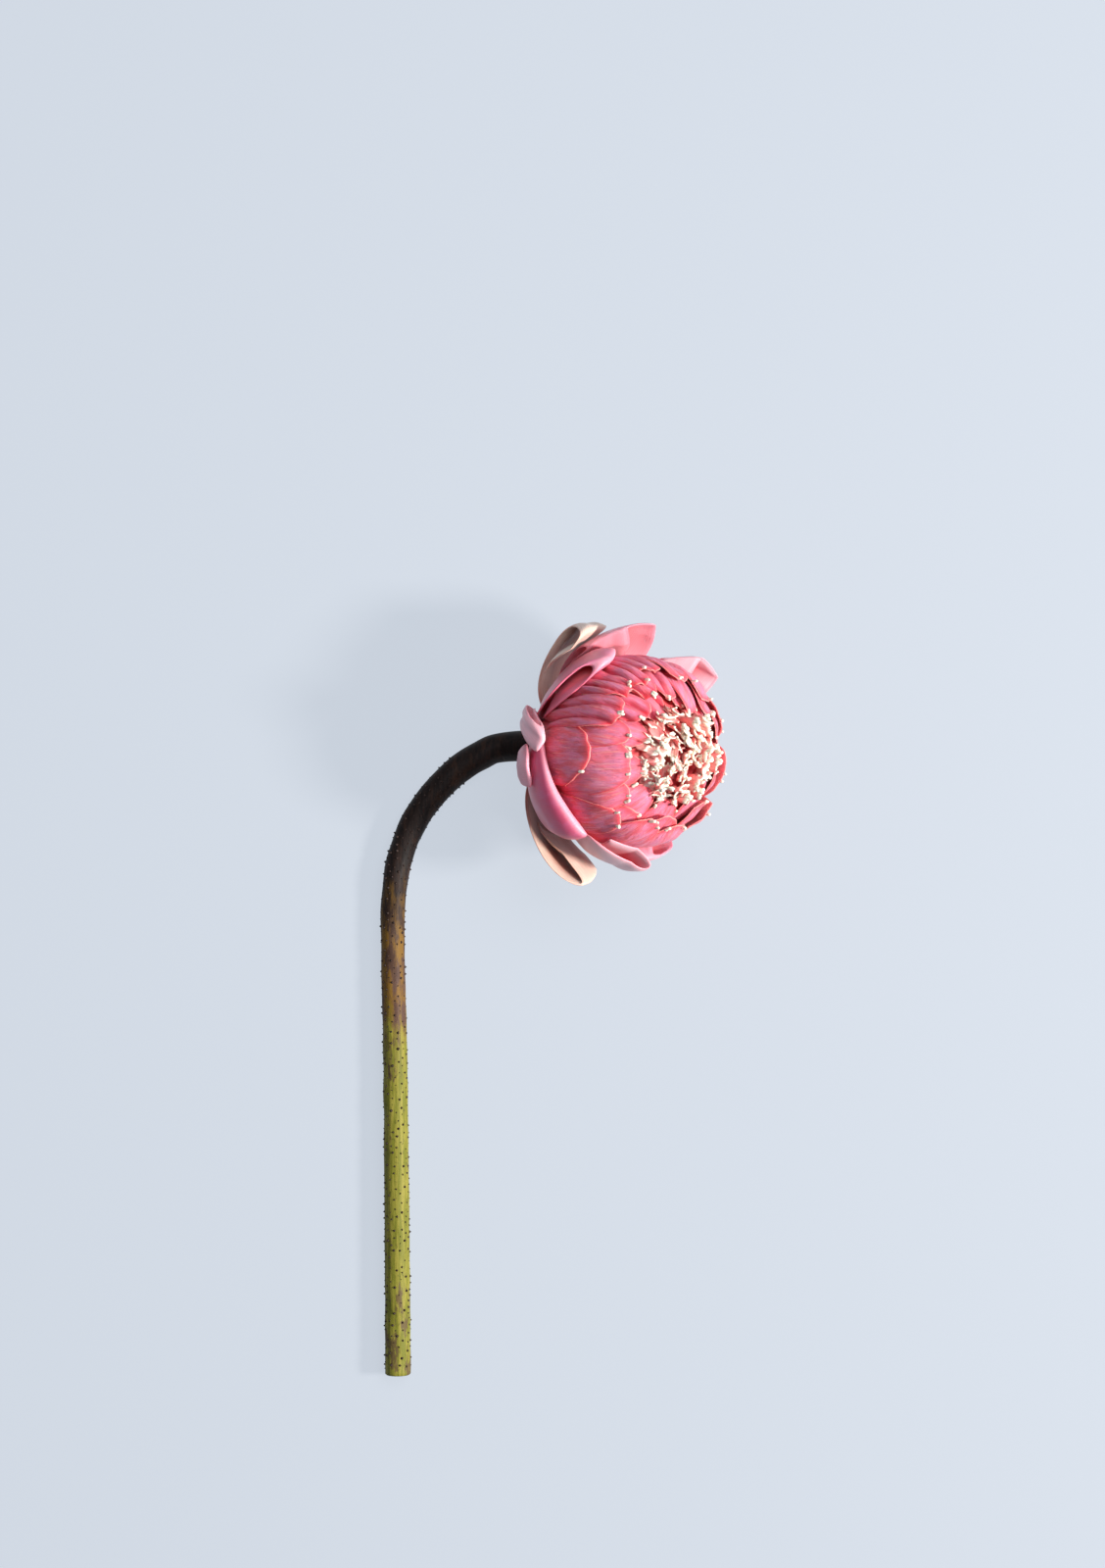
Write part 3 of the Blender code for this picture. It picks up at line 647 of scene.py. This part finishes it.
def addInnerPetal(layer, number, petal):
    shape = innerShape
    seed = 100 * layer + number
    name = f"inner_petal_{layer + 1}_{number + 1:02d}"
    pick = random.Random(seed)
    facing = max(0.0, math.cos(math.radians(petal[0] - shape["pleatedPsi"])))
    pleatDepth = (shape["leastPleats"] + shape["pleats"] * facing ** 6) * pick.uniform(0.7, 1.3)
    radius = bloom["globeRadius"] - layer * shape["layerSpacing"]
    grid, valley = innerGrid(*petal, radius, seed, pleatDepth)
    along, width, rim, thick = petalMeasures(grid, shape)
    s = np.sin(np.linspace(-0.5, 0.5, grid.shape[0]) * math.pi)[:, None]
    acrossMap = 0.5 * s * width + 40.0 * seed + np.zeros_like(along)
    mesh = shellMesh(name, grid, thick, acrossMap, along, rim, pick.random())
    setNumbers(mesh, "valley", np.tile(valley.reshape(-1), 2))
    addPiece(name + "_skin", mesh, globeFinish, [name])
    return grid


innerGrids = [addInnerPetal(layer, number, petal)
              for layer, petals in enumerate(innerLayers) for number, petal in enumerate(petals)]
print("inner petals ready")


# Petaloids: a bed inside the bloom, and small ragged blades with cream fingers spread over it
heart = {
    "radius": 29.2, "back": -24.0, "segments": 96, "rings": 64, "hollowDepth": 11.0, "hollowTheta": 19.5,
    "hollowPsi": 108.0, "hollowWidth": 9.5, "hollowTurn": 38.0, "lumps": 0.8, "lumpTurns": 6.0,
    "frontTheta": 75.0, "frontFade": 30.0, "crowdTheta": 49.0, "crowdFade": 4.0, "poleAbove": 4.0,
    "lean": 0.98, "pitch": 0.24, "yaw": 0.36, "roll": 0.4, "kindSeed": 3, "toneSeed": 11, "lastPick": 99,
    "growth": {"Spacing": 0.0020, "Density": 300000.0, "Seed": 7, "Smallest": 0.8, "Largest": 1.15},
}
blade = {
    "kinds": 16, "firstSeed": 900, "columns": 6, "rows": 7, "length": (7.5, 11.0), "width": (4.6, 7.6),
    "thickness": 0.4, "tipThickness": 1.15, "creamFrom": (0.6, 0.88),
}
fingers = {
    "counts": (0, 0, 1, 2, 2, 3), "length": (1.4, 3.4), "radius": (0.62, 0.86), "sides": 7,
    "profile": (0.85, 1.0, 0.94, 0.92, 1.0, 0.76), "sway": 0.16,
    "tissue": (1.0, 3.0, 0.9, 0.0),  # all cream, far from a rim, near a tip and without a tone
}
tipHooks = {
    "counts": (1, 1, 2, 2, 3), "length": (1.4, 3.0), "radius": (0.45, 0.8), "outward": 1.1, "reach": 8,
    "seed": 31,
}
# The hollow colour is painted shade down in the central hollow; the red is the blades' own rim colour and, at
# their feet, painted shade.
heartLook = palette(
    blade=(244, 148, 146), pale=(252, 206, 196), red=(226, 62, 70), vein=(196, 88, 98),
    cream=(244, 232, 212), bed=(206, 66, 74), hollow=(92, 16, 14))


def petaloidFinish():
    look = heartLook
    finish, tree = newFinish("petaloid", 0.5, 0.2, 0.1)
    where, (_, _, cream), (rim, share, _) = petalInputs(tree)
    lengthwise = mottle(tree, where, (1.3, 0.25, 0.0))
    tone = fadeIn(tree, attributeOf(tree, "tone"), 0.25, 0.85)
    skin = tinted(tree, mixColours(tree, tone, look["blade"], look["pale"]), look,
                  ("vein", fadeIn(tree, lengthwise, 0.5, 0.72), 0.5),
                  ("red", fadeOut(tree, rim, 0.1, 1.3), 0.45))
    # painted shade: the blade's foot, deep among the others, turns red
    skin = mixColours(tree, fadeOut(tree, share, 0.0, 0.2), skin, look["red"])
    skin = ramp(tree, cream, 0.25, 0.75, skin, look["cream"])
    return painted(finish, skin, lengthwise, 0.15, 0.6)


def bedFinish():
    look = heartLook
    finish, tree = newFinish("petaloidBed", 0.7)
    place = outputOf(tree, "ShaderNodeTexCoord", output="Object")
    grain = mottle(tree, place, (420.0, 420.0, 420.0), detail=4.0)
    # painted shade: the bed turns near black down in the hollow
    skin = ramp(tree, attributeOf(tree, "lean"), 0.0, 0.45, look["hollow"], look["bed"])
    skin = tinted(tree, skin, look, ("blade", fadeIn(tree, grain, 0.35, 0.65), 0.3))
    return painted(finish, skin, grain, 0.4)


def addBed():
    segments, rings = heart["segments"], heart["rings"]
    directions = [(0.0, 0.0)] + [(180.0 * ring / rings, 360.0 * segment / segments)
                                 for ring in range(1, rings) for segment in range(segments)] + [(180.0, 0.0)]
    points, crowd, lean, height = [], [], [], []
    for theta, psi in directions:
        tilt, heading = math.radians(theta), math.radians(psi)
        x, y, z = math.sin(tilt) * math.cos(heading), math.sin(tilt) * math.sin(heading), math.cos(tilt)
        turn = (psi - heart["hollowPsi"] + 180.0) % 360.0 - 180.0
        away = math.hypot((theta - heart["hollowTheta"]) / heart["hollowWidth"],
                          turn / heart["hollowTurn"])
        inHollow = math.exp(-away * away)
        front = float(smoothStep((heart["frontTheta"] - theta) / heart["frontFade"]))
        lumps = heart["lumps"] * noise.noise(Vector((x, y, z)) * heart["lumpTurns"])
        radius = float(globeRadiusAt(theta, heart["radius"]))
        radius = radius + front * (lumps - heart["hollowDepth"] * inHollow)
        along = max(radius * z, heart["back"])
        points.append(placed(along * flowerAxis + radius * x * sideAxis + radius * y * upperAxis))
        standing = float(smoothStep((away - 0.8) / 1.2))
        within = float(smoothStep((heart["crowdTheta"] - theta) / heart["crowdFade"]))
        crowd.append(within * (1.0 - min(1.0, 2.5 * inHollow)))
        lean.append(standing * float(1.0 - 0.5 * smoothStep((theta - 32.0) / 12.0)))
        height.append((0.6 + 0.4 * standing) * float(1.0 - 0.3 * smoothStep((theta - 36.0) / 10.0)))
    last = len(points) - 1
    faces = []
    for segment in range(segments):
        after = (segment + 1) % segments
        faces.append((0, 1 + segment, 1 + after))
        faces.append((last, last - segments + after, last - segments + segment))
        for ring in range(rings - 2):
            near, far = 1 + ring * segments, 1 + (ring + 1) * segments
            faces.append((near + segment, far + segment, far + after, near + after))
    mesh = meshFrom("petaloidBed", np.array(points), faces)
    for name, values in (("crowd", crowd), ("lean", lean), ("height", height)):
        setNumbers(mesh, name, values)
    return addPiece("petaloid_bed", mesh, bedFinish(), ["petaloid_cluster"])


def bladePoints(pick, length, width):
    # a cupped, twisted and ragged little blade, as a middle surface with its base at the origin
    s, v = np.meshgrid(np.linspace(-1.0, 1.0, blade["columns"] + 1),
                       np.linspace(0.0, 1.0, blade["rows"] + 1), indexing="ij")
    half = 0.5 * width * (0.3 + 0.7 * smoothStep(v / 0.6)) * (1.0 - 0.45 * smoothStep((v - 0.75) / 0.35))
    notches = np.array([pick.uniform(-1.5, 0.7) for _ in range(blade["columns"] + 1)])
    lobes = notches[:, None] * smoothStep((v - 0.65) / 0.35)
    bend = pick.uniform(-0.5, 0.4)
    cup = pick.uniform(0.1, 0.5)
    twist = pick.uniform(-0.5, 0.5) * v
    ripple = pick.uniform(0.2, 0.6) * np.sin(v * pick.uniform(4.0, 8.0) + pick.uniform(0.0, 6.0)) * s ** 3
    x = half * s
    z = cup * half * s * s + ripple
    y = (length + lobes) * v
    x, z = x * np.cos(twist) - z * np.sin(twist), x * np.sin(twist) + z * np.cos(twist)
    arc = bend * v
    return np.stack((x, y * np.cos(arc * 0.5), z + y * np.sin(arc * 0.5)), axis=-1), s, v, half


def appendShell(parts, middle, thickness, attributes):
    points = bothSides(middle, thickness, surfaceNormals(middle))
    parts.append((points, shellFaces(*middle.shape[:2]), np.concatenate((attributes, attributes))))


def appendFinger(parts, pick, root, heading, kind):
    # a bent little finger with a knobbed, rounded end
    length, radius = pick.uniform(*kind["length"]), pick.uniform(*kind["radius"])
    sides, profile = fingers["sides"], fingers["profile"]
    rings = len(profile)
    heading = unit(heading)
    helper = np.array([0.0, 0.0, 1.0]) if abs(heading[2]) < 0.8 else np.array([1.0, 0.0, 0.0])
    across = unit(np.cross(heading, helper))
    upward = np.cross(across, heading)
    sway = np.array([pick.uniform(-1.0, 1.0), pick.uniform(-1.0, 1.0)]) * fingers["sway"] * length
    points, attributes = [], []
    for ring, share in enumerate(profile):
        v = ring / (rings - 1.0)
        size = radius * share * pick.uniform(0.93, 1.07)
        middle = root + heading * length * v + (across * sway[0] + upward * sway[1]) * v * v
        for side in range(sides):
            angle = 2.0 * math.pi * side / sides
            points.append(middle + size * (math.cos(angle) * across + math.sin(angle) * upward))
            attributes.append((0.0, length * v, *fingers["tissue"]))
    points.append(middle + heading * radius * 0.5)
    attributes.append(attributes[-1])
    faces = sideFaces(rings, sides) + [tuple(range(sides))[::-1]] + tipFaces(rings, sides)
    parts.append((np.array(points), faces, np.array(attributes)))


def petaloidMesh(name, seed):
    pick = random.Random(seed)
    parts = []
    length = pick.uniform(*blade["length"])
    middle, s, v, half = bladePoints(pick, length, pick.uniform(*blade["width"]))
    rim = np.minimum(half * (1.0 - np.abs(s)), length * (1.0 - v))
    creamFrom = pick.uniform(*blade["creamFrom"])
    cream = smoothStep((v - creamFrom) / (1.0 - creamFrom))
    attributes = np.stack((half * s, length * v, cream, rim, v, np.zeros_like(v)), axis=-1).reshape(-1, 6)
    thickness = blade["thickness"] + (blade["tipThickness"] - blade["thickness"]) * cream
    appendShell(parts, middle, thickness * (0.4 + 0.6 * smoothStep(rim / 0.9)), attributes)
    count = pick.choice(fingers["counts"])
    first = pick.randint(0, blade["columns"] - max(count - 1, 0))
    for column in range(first, first + count):
        root = middle[column, -2]
        heading = unit(middle[column, -1] - middle[column, -3])
        fan = (column / blade["columns"] - 0.5) * 1.2
        heading = heading + np.array([fan + pick.uniform(-0.2, 0.2), 0.0, pick.uniform(-0.2, 0.7)])
        appendFinger(parts, pick, root, heading, fingers)
    return joinParts(name, parts)


def joinParts(name, parts):
    points, faces, attributes, start = [], [], [], 0
    for somePoints, someFaces, someAttributes in parts:
        points.append(somePoints)
        faces.extend(tuple(int(index) + start for index in face) for face in facedOut(somePoints, someFaces))
        attributes.append(someAttributes)
        start += len(somePoints)
    points = np.concatenate(points) * mm
    attributes = np.concatenate(attributes)
    mesh = bpy.data.meshes.new(name)
    mesh.from_pydata(points.tolist(), [], faces)
    setVectors(mesh, "petalMap", attributes[:, :3])
    setVectors(mesh, "petalShade", attributes[:, 3:])
    return mesh


def startGrowth(name, factor, extras):
    # begins a tree with named inputs that scatters points over its host, with a random size for each
    tree = bpy.data.node_groups.new(name, "GeometryNodeTree")
    for way in ("INPUT", "OUTPUT"):
        tree.interface.new_socket(name="Geometry", in_out=way, socket_type="NodeSocketGeometry")
    kinds = {"Spacing": "Float", "Density": "Float", "Seed": "Int", "Smallest": "Float", "Largest": "Float",
             **extras, "Finish": "Material"}
    sockets = {label: tree.interface.new_socket(name=label, in_out="INPUT",
                                                socket_type="NodeSocket" + kind).identifier
               for label, kind in kinds.items()}
    given = addNode(tree, "NodeGroupInput").outputs
    spread = addNode(tree, "GeometryNodeDistributePointsOnFaces", {
        "Mesh": given["Geometry"], "Distance Min": given["Spacing"], "Density Max": given["Density"],
        "Density Factor": numberField(tree, factor), "Seed": given["Seed"]}, distribute_method="POISSON")
    size = randomNumber(tree, given["Smallest"], given["Largest"], given["Seed"])
    return tree, sockets, given, spread.outputs, size


def endGrowth(tree, given, copies):
    real = outputOf(tree, "GeometryNodeRealizeInstances", {0: copies})
    finished = outputOf(tree, "GeometryNodeSetMaterial", {0: real, "Material": given["Finish"]})
    addNode(tree, "NodeGroupOutput", {0: finished})


def numberField(tree, name):
    return outputOf(tree, "GeometryNodeInputNamedAttribute", {"Name": name}, data_type="FLOAT")


def randomNumber(tree, low, high, seed):
    return outputOf(tree, "FunctionNodeRandomValue", {2: low, 3: high, "Seed": seed}, 1, data_type="FLOAT")


def vectorMath(tree, operation, first, second):
    key = "Scale" if operation == "SCALE" else 1
    return outputOf(tree, "ShaderNodeVectorMath", {0: first, key: second}, operation=operation)


def crowdTree():
    tree, sockets, given, spread, size = startGrowth("petaloidCrowd", "crowd", {
        "Lean": "Vector", "Play": "Vector", "Pole": "Vector", "Petaloids": "Collection"})
    facing = outputOf(tree, "FunctionNodeAlignRotationToVector", {"Vector": spread["Normal"]}, axis="Z")
    toPole = vectorMath(tree, "SUBTRACT", given["Pole"], outputOf(tree, "GeometryNodeInputPosition"))
    headed = outputOf(tree, "FunctionNodeAlignRotationToVector", {"Rotation": facing, "Vector": toPole},
                      axis="Y", pivot_axis="Z")
    lean = vectorMath(tree, "SCALE", given["Lean"], numberField(tree, "lean"))
    chance = outputOf(tree, "FunctionNodeRandomValue", {
        0: vectorMath(tree, "SUBTRACT", lean, given["Play"]), 1: vectorMath(tree, "ADD", lean, given["Play"]),
        "Seed": given["Seed"]}, data_type="FLOAT_VECTOR")
    tip = outputOf(tree, "FunctionNodeEulerToRotation", {0: chance})
    turned = outputOf(tree, "FunctionNodeRotateRotation", {"Rotation": headed, "Rotate By": tip},
                      rotation_space="LOCAL")
    kinds = outputOf(tree, "GeometryNodeCollectionInfo", {
        "Collection": given["Petaloids"], "Separate Children": True, "Reset Children": True})
    which = outputOf(tree, "FunctionNodeRandomValue", {
        4: 0, 5: heart["lastPick"], "Seed": heart["kindSeed"]}, 2, data_type="INT")
    copies = outputOf(tree, "GeometryNodeInstanceOnPoints", {
        "Points": spread["Points"], "Instance": kinds, "Pick Instance": True, "Instance Index": which,
        "Rotation": turned, "Scale": doMath(tree, "MULTIPLY", size, numberField(tree, "height"))})
    toned = outputOf(tree, "GeometryNodeStoreNamedAttribute", {
        "Geometry": copies, "Name": "tone", "Value": randomNumber(tree, 0.0, 1.0, heart["toneSeed"])},
        data_type="FLOAT", domain="INSTANCE")
    endGrowth(tree, given, toned)
    return tree, sockets


def grown(host, tree, sockets, values, name):
    # evaluates the tree on a copy of the host and returns the result as a plain mesh
    carrier = linked(name + "Carrier", host.data.copy())
    modifier = carrier.modifiers.new("growth", "NODES")
    modifier.node_group = tree
    for key, value in values.items():
        modifier[sockets[key]] = value
    bpy.context.view_layer.update()
    evaluated = carrier.evaluated_get(bpy.context.evaluated_depsgraph_get())
    mesh = bpy.data.meshes.new_from_object(evaluated)
    mesh.name = name
    carrier.modifiers.remove(modifier)
    bpy.data.objects.remove(carrier)
    return mesh


def addPetaloids(bed):
    kinds = bpy.data.collections.new("petaloidKinds")
    for number in range(blade["kinds"]):
        mesh = petaloidMesh(f"petaloidKind{number}", blade["firstSeed"] + number)
        kinds.objects.link(bpy.data.objects.new(mesh.name, mesh))
    tree, sockets = crowdTree()
    finish = petaloidFinish()
    above = (heart["hollowTheta"], heart["hollowPsi"], heart["radius"] + heart["poleAbove"])
    pole = placed(flowerPoints(*(np.array([value]) for value in above)))[0]
    mesh = grown(bed, tree, sockets, {
        **heart["growth"], "Lean": (heart["lean"], 0.0, 0.0),
        "Play": (heart["pitch"], heart["roll"], heart["yaw"]), "Pole": tuple(pole), "Petaloids": kinds,
        "Finish": finish}, "petaloids")
    for thing in list(kinds.objects):
        bpy.data.objects.remove(thing)
    bpy.data.collections.remove(kinds)
    print("petaloid faces:", len(mesh.polygons))
    return addPiece("petaloids", mesh, finish)


def addTipHooks(finish):
    # small cream hooks on the ends of the inner petals
    pick = random.Random(tipHooks["seed"])
    parts = []
    for grid in innerGrids:
        for _ in range(pick.choice(tipHooks["counts"])):
            column = grid.shape[0] // 2 + pick.randint(-tipHooks["reach"], tipHooks["reach"])
            outward = unit(grid[column, -1]) * pick.uniform(0.0, tipHooks["outward"])
            heading = unit(grid[column, -1] - grid[column, -4]) + outward
            appendFinger(parts, pick, grid[column, -2], heading, tipHooks)
    mesh = joinParts("petal_hooks", parts)
    mesh.transform(Matrix.Translation(Vector(globeCentre)))
    addPiece("petal_hooks", mesh, finish)


bed = addBed()
petaloids = addPetaloids(bed)
addTipHooks(petaloids.data.materials[0])
print("petaloids ready")


# Stem: the axis from the cut end to the neck, (x, y) from the globe's centre and the radius
stemShape = {
    "line": ((-95.1, -252.3, 5.2), (-95.4, -210.0, 5.1), (-95.8, -165.0, 5.0), (-96.3, -120.0, 4.9),
             (-97.2, -80.0, 4.8), (-96.6, -55.5, 5.0), (-92.6, -37.0, 5.2), (-84.4, -21.3, 5.5),
             (-72.8, -8.6, 5.7), (-61.6, -1.0, 5.9), (-52.0, 2.4, 6.0)),
    "receptacle": ((-26.0, 10.4), (-29.6, 10.9), (-33.5, 11.0), (-37.0, 9.0), (-41.5, 6.9)),
    "rings": 420, "sides": 40, "ridges": 9, "ridgeDepth": 0.05, "unevenness": 0.1, "edge": 0.5,
}
prickles = {
    "growth": {"Spacing": 0.0022, "Density": 260000.0, "Seed": 5, "Smallest": 0.3, "Largest": 0.75},
    "sides": 6, "rings": ((1.0, -0.2), (0.62, 0.3), (0.3, 0.75)), "tip": (0.1, 0.0, 1.05),
}
stemLook = palette(
    green=(108, 108, 32), yellow=(138, 130, 52), olive=(74, 72, 26), ochre=(116, 84, 32), umber=(84, 60, 48),
    brown=(40, 27, 22), dark=(22, 15, 13), rust=(62, 38, 24), prickle=(50, 34, 28))


def smoothLine(points, samples):
    points = np.array(points, dtype=float)
    padded = np.vstack((2.0 * points[0] - points[1], points, 2.0 * points[-1] - points[-2]))
    line = []
    for position in np.linspace(0.0, len(points) - 1.0, samples):
        span = min(int(position), len(points) - 2)
        t = position - span
        a, b, c, d = padded[span:span + 4]
        line.append(0.5 * (2.0 * b + (c - a) * t + (2.0 * a - 5.0 * b + 4.0 * c - d) * t ** 2
                           + (3.0 * b - a - 3.0 * c + d) * t ** 3))
    return np.array(line)


def stemFinish():
    look = stemLook
    finish, tree = newFinish("stem", 0.6, others={"Specular IOR Level": 0.2})
    along = attributeOf(tree, "along")
    place = outputOf(tree, "ShaderNodeTexCoord", output="Object")
    blotch = mottle(tree, place, (260.0, 70.0, 260.0), detail=5.0, roughness=0.65)
    streak = mottle(tree, place, (900.0, 60.0, 900.0))
    speck = mottle(tree, place, (700.0, 420.0, 700.0), detail=2.0)
    skin = ramp(tree, streak, 0.4, 0.62, look["green"], look["yellow"])
    skin = tinted(tree, skin, look, ("olive", fadeIn(tree, speck, 0.6, 0.72), 0.55))
    bark = ramp(tree, streak, 0.35, 0.68, look["dark"], look["brown"])
    bark = tinted(tree, bark, look, ("rust", fadeIn(tree, blotch, 0.5, 0.66), 0.5))
    shifted = doMath(tree, "MULTIPLY_ADD", blotch, 90.0, doMath(tree, "SUBTRACT", along, 45.0))
    nearEnd = doMath(tree, "MULTIPLY", 0.08, fadeOut(tree, along, 18.0, 42.0))
    threshold = doMath(tree, "SUBTRACT", 0.6, nearEnd)
    patches = fadeIn(tree, doMath(tree, "SUBTRACT", blotch, threshold), 0.0, 0.05)
    skin = tinted(tree, skin, look, ("umber", patches, 0.75))
    aged = ramp(tree, blotch, 0.42, 0.56, look["ochre"], look["umber"])
    skin = ramp(tree, shifted, 124.0, 150.0, skin, aged)
    skin = ramp(tree, shifted, 162.0, 202.0, skin, bark)
    return painted(finish, skin, doMath(tree, "MULTIPLY_ADD", streak, 0.7, speck), 0.2, 0.8)


def addStem():
    shape = stemShape
    height = bloom["centreFromStem"][2]
    points = [(x, y, radius - height, radius) for x, y, radius in shape["line"]]
    for distance, radius in reversed(shape["receptacle"]):
        points.append((*(distance * flowerAxis), radius))
    line = smoothLine(points, shape["rings"])
    line[:, 2] = np.maximum(line[:, 2], line[:, 3] - height)
    centres, radii = line[:, :3], line[:, 3]
    tangents = np.gradient(centres, axis=0)
    tangents = tangents / np.linalg.norm(tangents, axis=1, keepdims=True)
    along = np.concatenate(([0.0], np.cumsum(np.linalg.norm(np.diff(centres, axis=0), axis=1))))
    upward = np.array([0.0, 0.0, 1.0])
    sides = shape["sides"]
    angle = np.linspace(0.0, 2.0 * math.pi, sides, endpoint=False)
    uneven = waves(77, 6, 1.0, 3.0)
    rings, distances, prickly = [], [], []
    for centre, tangent, radius, distance in zip(centres, tangents, radii, along):
        side = unit(np.cross(tangent, upward))
        upward = np.cross(side, tangent)
        ridge = shape["ridgeDepth"] * np.cos(shape["ridges"] * angle + 0.01 * distance)
        lump = shape["unevenness"] * uneven(angle / (2.0 * math.pi), np.full(sides, distance / 40.0))
        clear = np.where(np.sin(angle) < -0.3, 0.0, 1.0)  # the side that lies on the table stays even
        size = radius + (ridge + lump) * clear * min(1.0, distance / 4.0)
        outward = np.cos(angle)[:, None] * side + np.sin(angle)[:, None] * upward
        rings.append(centre + size[:, None] * outward)
        distances.append(np.full(sides, distance))
        bare = distance < 3.0 or distance > 0.8 * along[-1]
        prickly.append(np.where((np.sin(angle) < -0.2) | bare, 0.0, 1.0))
    first = centres[0] + (rings[0] - centres[0]) * (1.0 - shape["edge"] / radii[0])
    rings[0] = rings[0] + tangents[0] * shape["edge"]
    rings.insert(0, first)
    distances.insert(0, distances[0])
    prickly.insert(0, prickly[0])
    last = (len(rings) - 1) * sides
    faces = sideFaces(len(rings), sides)
    faces += [tuple(range(sides))[::-1], tuple(range(last, last + sides))]
    mesh = meshFrom("stem", placed(np.concatenate(rings)), faces)
    setNumbers(mesh, "along", np.concatenate(distances))
    setNumbers(mesh, "prickly", np.concatenate(prickly))
    return addPiece("stem", mesh, stemFinish(), ["stem_with_receptacle"])


def prickleMesh(name):
    # a blunt little cone, a millimetre high before it is scaled
    rings, sides = prickles["rings"], prickles["sides"]
    turns = [2.0 * math.pi * side / sides for side in range(sides)]
    points = [(radius * math.cos(turn), radius * math.sin(turn), z) for radius, z in rings for turn in turns]
    points.append(prickles["tip"])
    faces = [tuple(range(sides))[::-1]] + sideFaces(len(rings), sides) + tipFaces(len(rings), sides)
    return meshFrom(name, np.array(points) * mm, faces)


def prickleTree():
    tree, sockets, given, spread, size = startGrowth("stemPrickles", "prickly", {"Prickle": "Object"})
    prickle = outputOf(tree, "GeometryNodeObjectInfo", {"Object": given["Prickle"]}, "Geometry")
    endGrowth(tree, given, outputOf(tree, "GeometryNodeInstanceOnPoints", {
        "Points": spread["Points"], "Instance": prickle, "Rotation": spread["Rotation"], "Scale": size}))
    return tree, sockets


def addPrickles(stem):
    finish, _ = newFinish("prickle", 0.6, others={"Base Color": stemLook["prickle"]})
    prickle = bpy.data.objects.new("prickle", prickleMesh("prickle"))
    tree, sockets = prickleTree()
    mesh = grown(stem, tree, sockets, {**prickles["growth"], "Prickle": prickle, "Finish": finish},
                 "prickles")
    bpy.data.objects.remove(prickle)
    print("prickle faces:", len(mesh.polygons))
    addPiece("stem_prickles", mesh, finish)


stem = addStem()
addPrickles(stem)
print("stem ready")


# Floor, light and camera
studio = {
    **palette(floor=(76, 78, 81), floorGlow=(222, 231, 243)), "glow": 0.74, "floorSize": 6.0,
    "lamps": {
        "key": dict(direction=(0.8, -0.12, 0.6), distance=1.5, size=0.26, power=43.0, tint=(1.0, 0.97, 0.93)),
        "fill": dict(direction=(0.3, 0.35, 0.9), distance=1.8, size=1.2, power=20.0, tint=(0.9, 0.94, 1.0)),
    },
    "skyColour": (0.78, 0.85, 1.0), "skyStrength": 0.13,
}
view = {"axisFromGlobe": (-32.3, -12.5), "distance": 1300.0, "frameWidth": 434.3, "sensor": 36.0}


def addFloor():
    bpy.ops.mesh.primitive_plane_add(size=studio["floorSize"])
    floor = bpy.context.object
    floor.name = "floor"
    finish, _ = newFinish("floor", 0.85, others={
        "Base Color": studio["floor"], "Emission Color": studio["floorGlow"],
        "Emission Strength": studio["glow"]})
    floor.data.materials.append(finish)


def addLamp(name, direction, distance, size, power, tint):
    lamp = bpy.data.lights.new(name, "AREA")
    lamp.shape = "DISK"
    lamp.size = size
    lamp.energy = power
    lamp.color = tint
    thing = linked(name, lamp)
    away = Vector(direction).normalized()
    thing.location = Vector(globeCentre) + away * distance
    thing.rotation_euler = (-away).to_track_quat("-Z", "Y").to_euler()


def addCamera():
    camera = bpy.data.cameras.new("camera")
    camera.sensor_fit = "HORIZONTAL"
    camera.sensor_width = view["sensor"]
    camera.lens = view["distance"] * view["sensor"] / view["frameWidth"]
    camera.clip_start = 0.01
    thing = linked("camera", camera)
    offset = Vector((*view["axisFromGlobe"], view["distance"])) * mm
    thing.location = Vector(globeCentre) + offset
    bpy.context.scene.camera = thing


addFloor()
for name, lamp in studio["lamps"].items():
    addLamp(name, **lamp)
addCamera()
sky = bpy.data.worlds.new("sky")
sky.use_nodes = True
sky.node_tree.nodes["Background"].inputs[0].default_value = (*studio["skyColour"], 1.0)
sky.node_tree.nodes["Background"].inputs[1].default_value = studio["skyStrength"]
bpy.context.scene.world = sky
bpy.context.scene.view_settings.view_transform = "Standard"
print("studio ready")
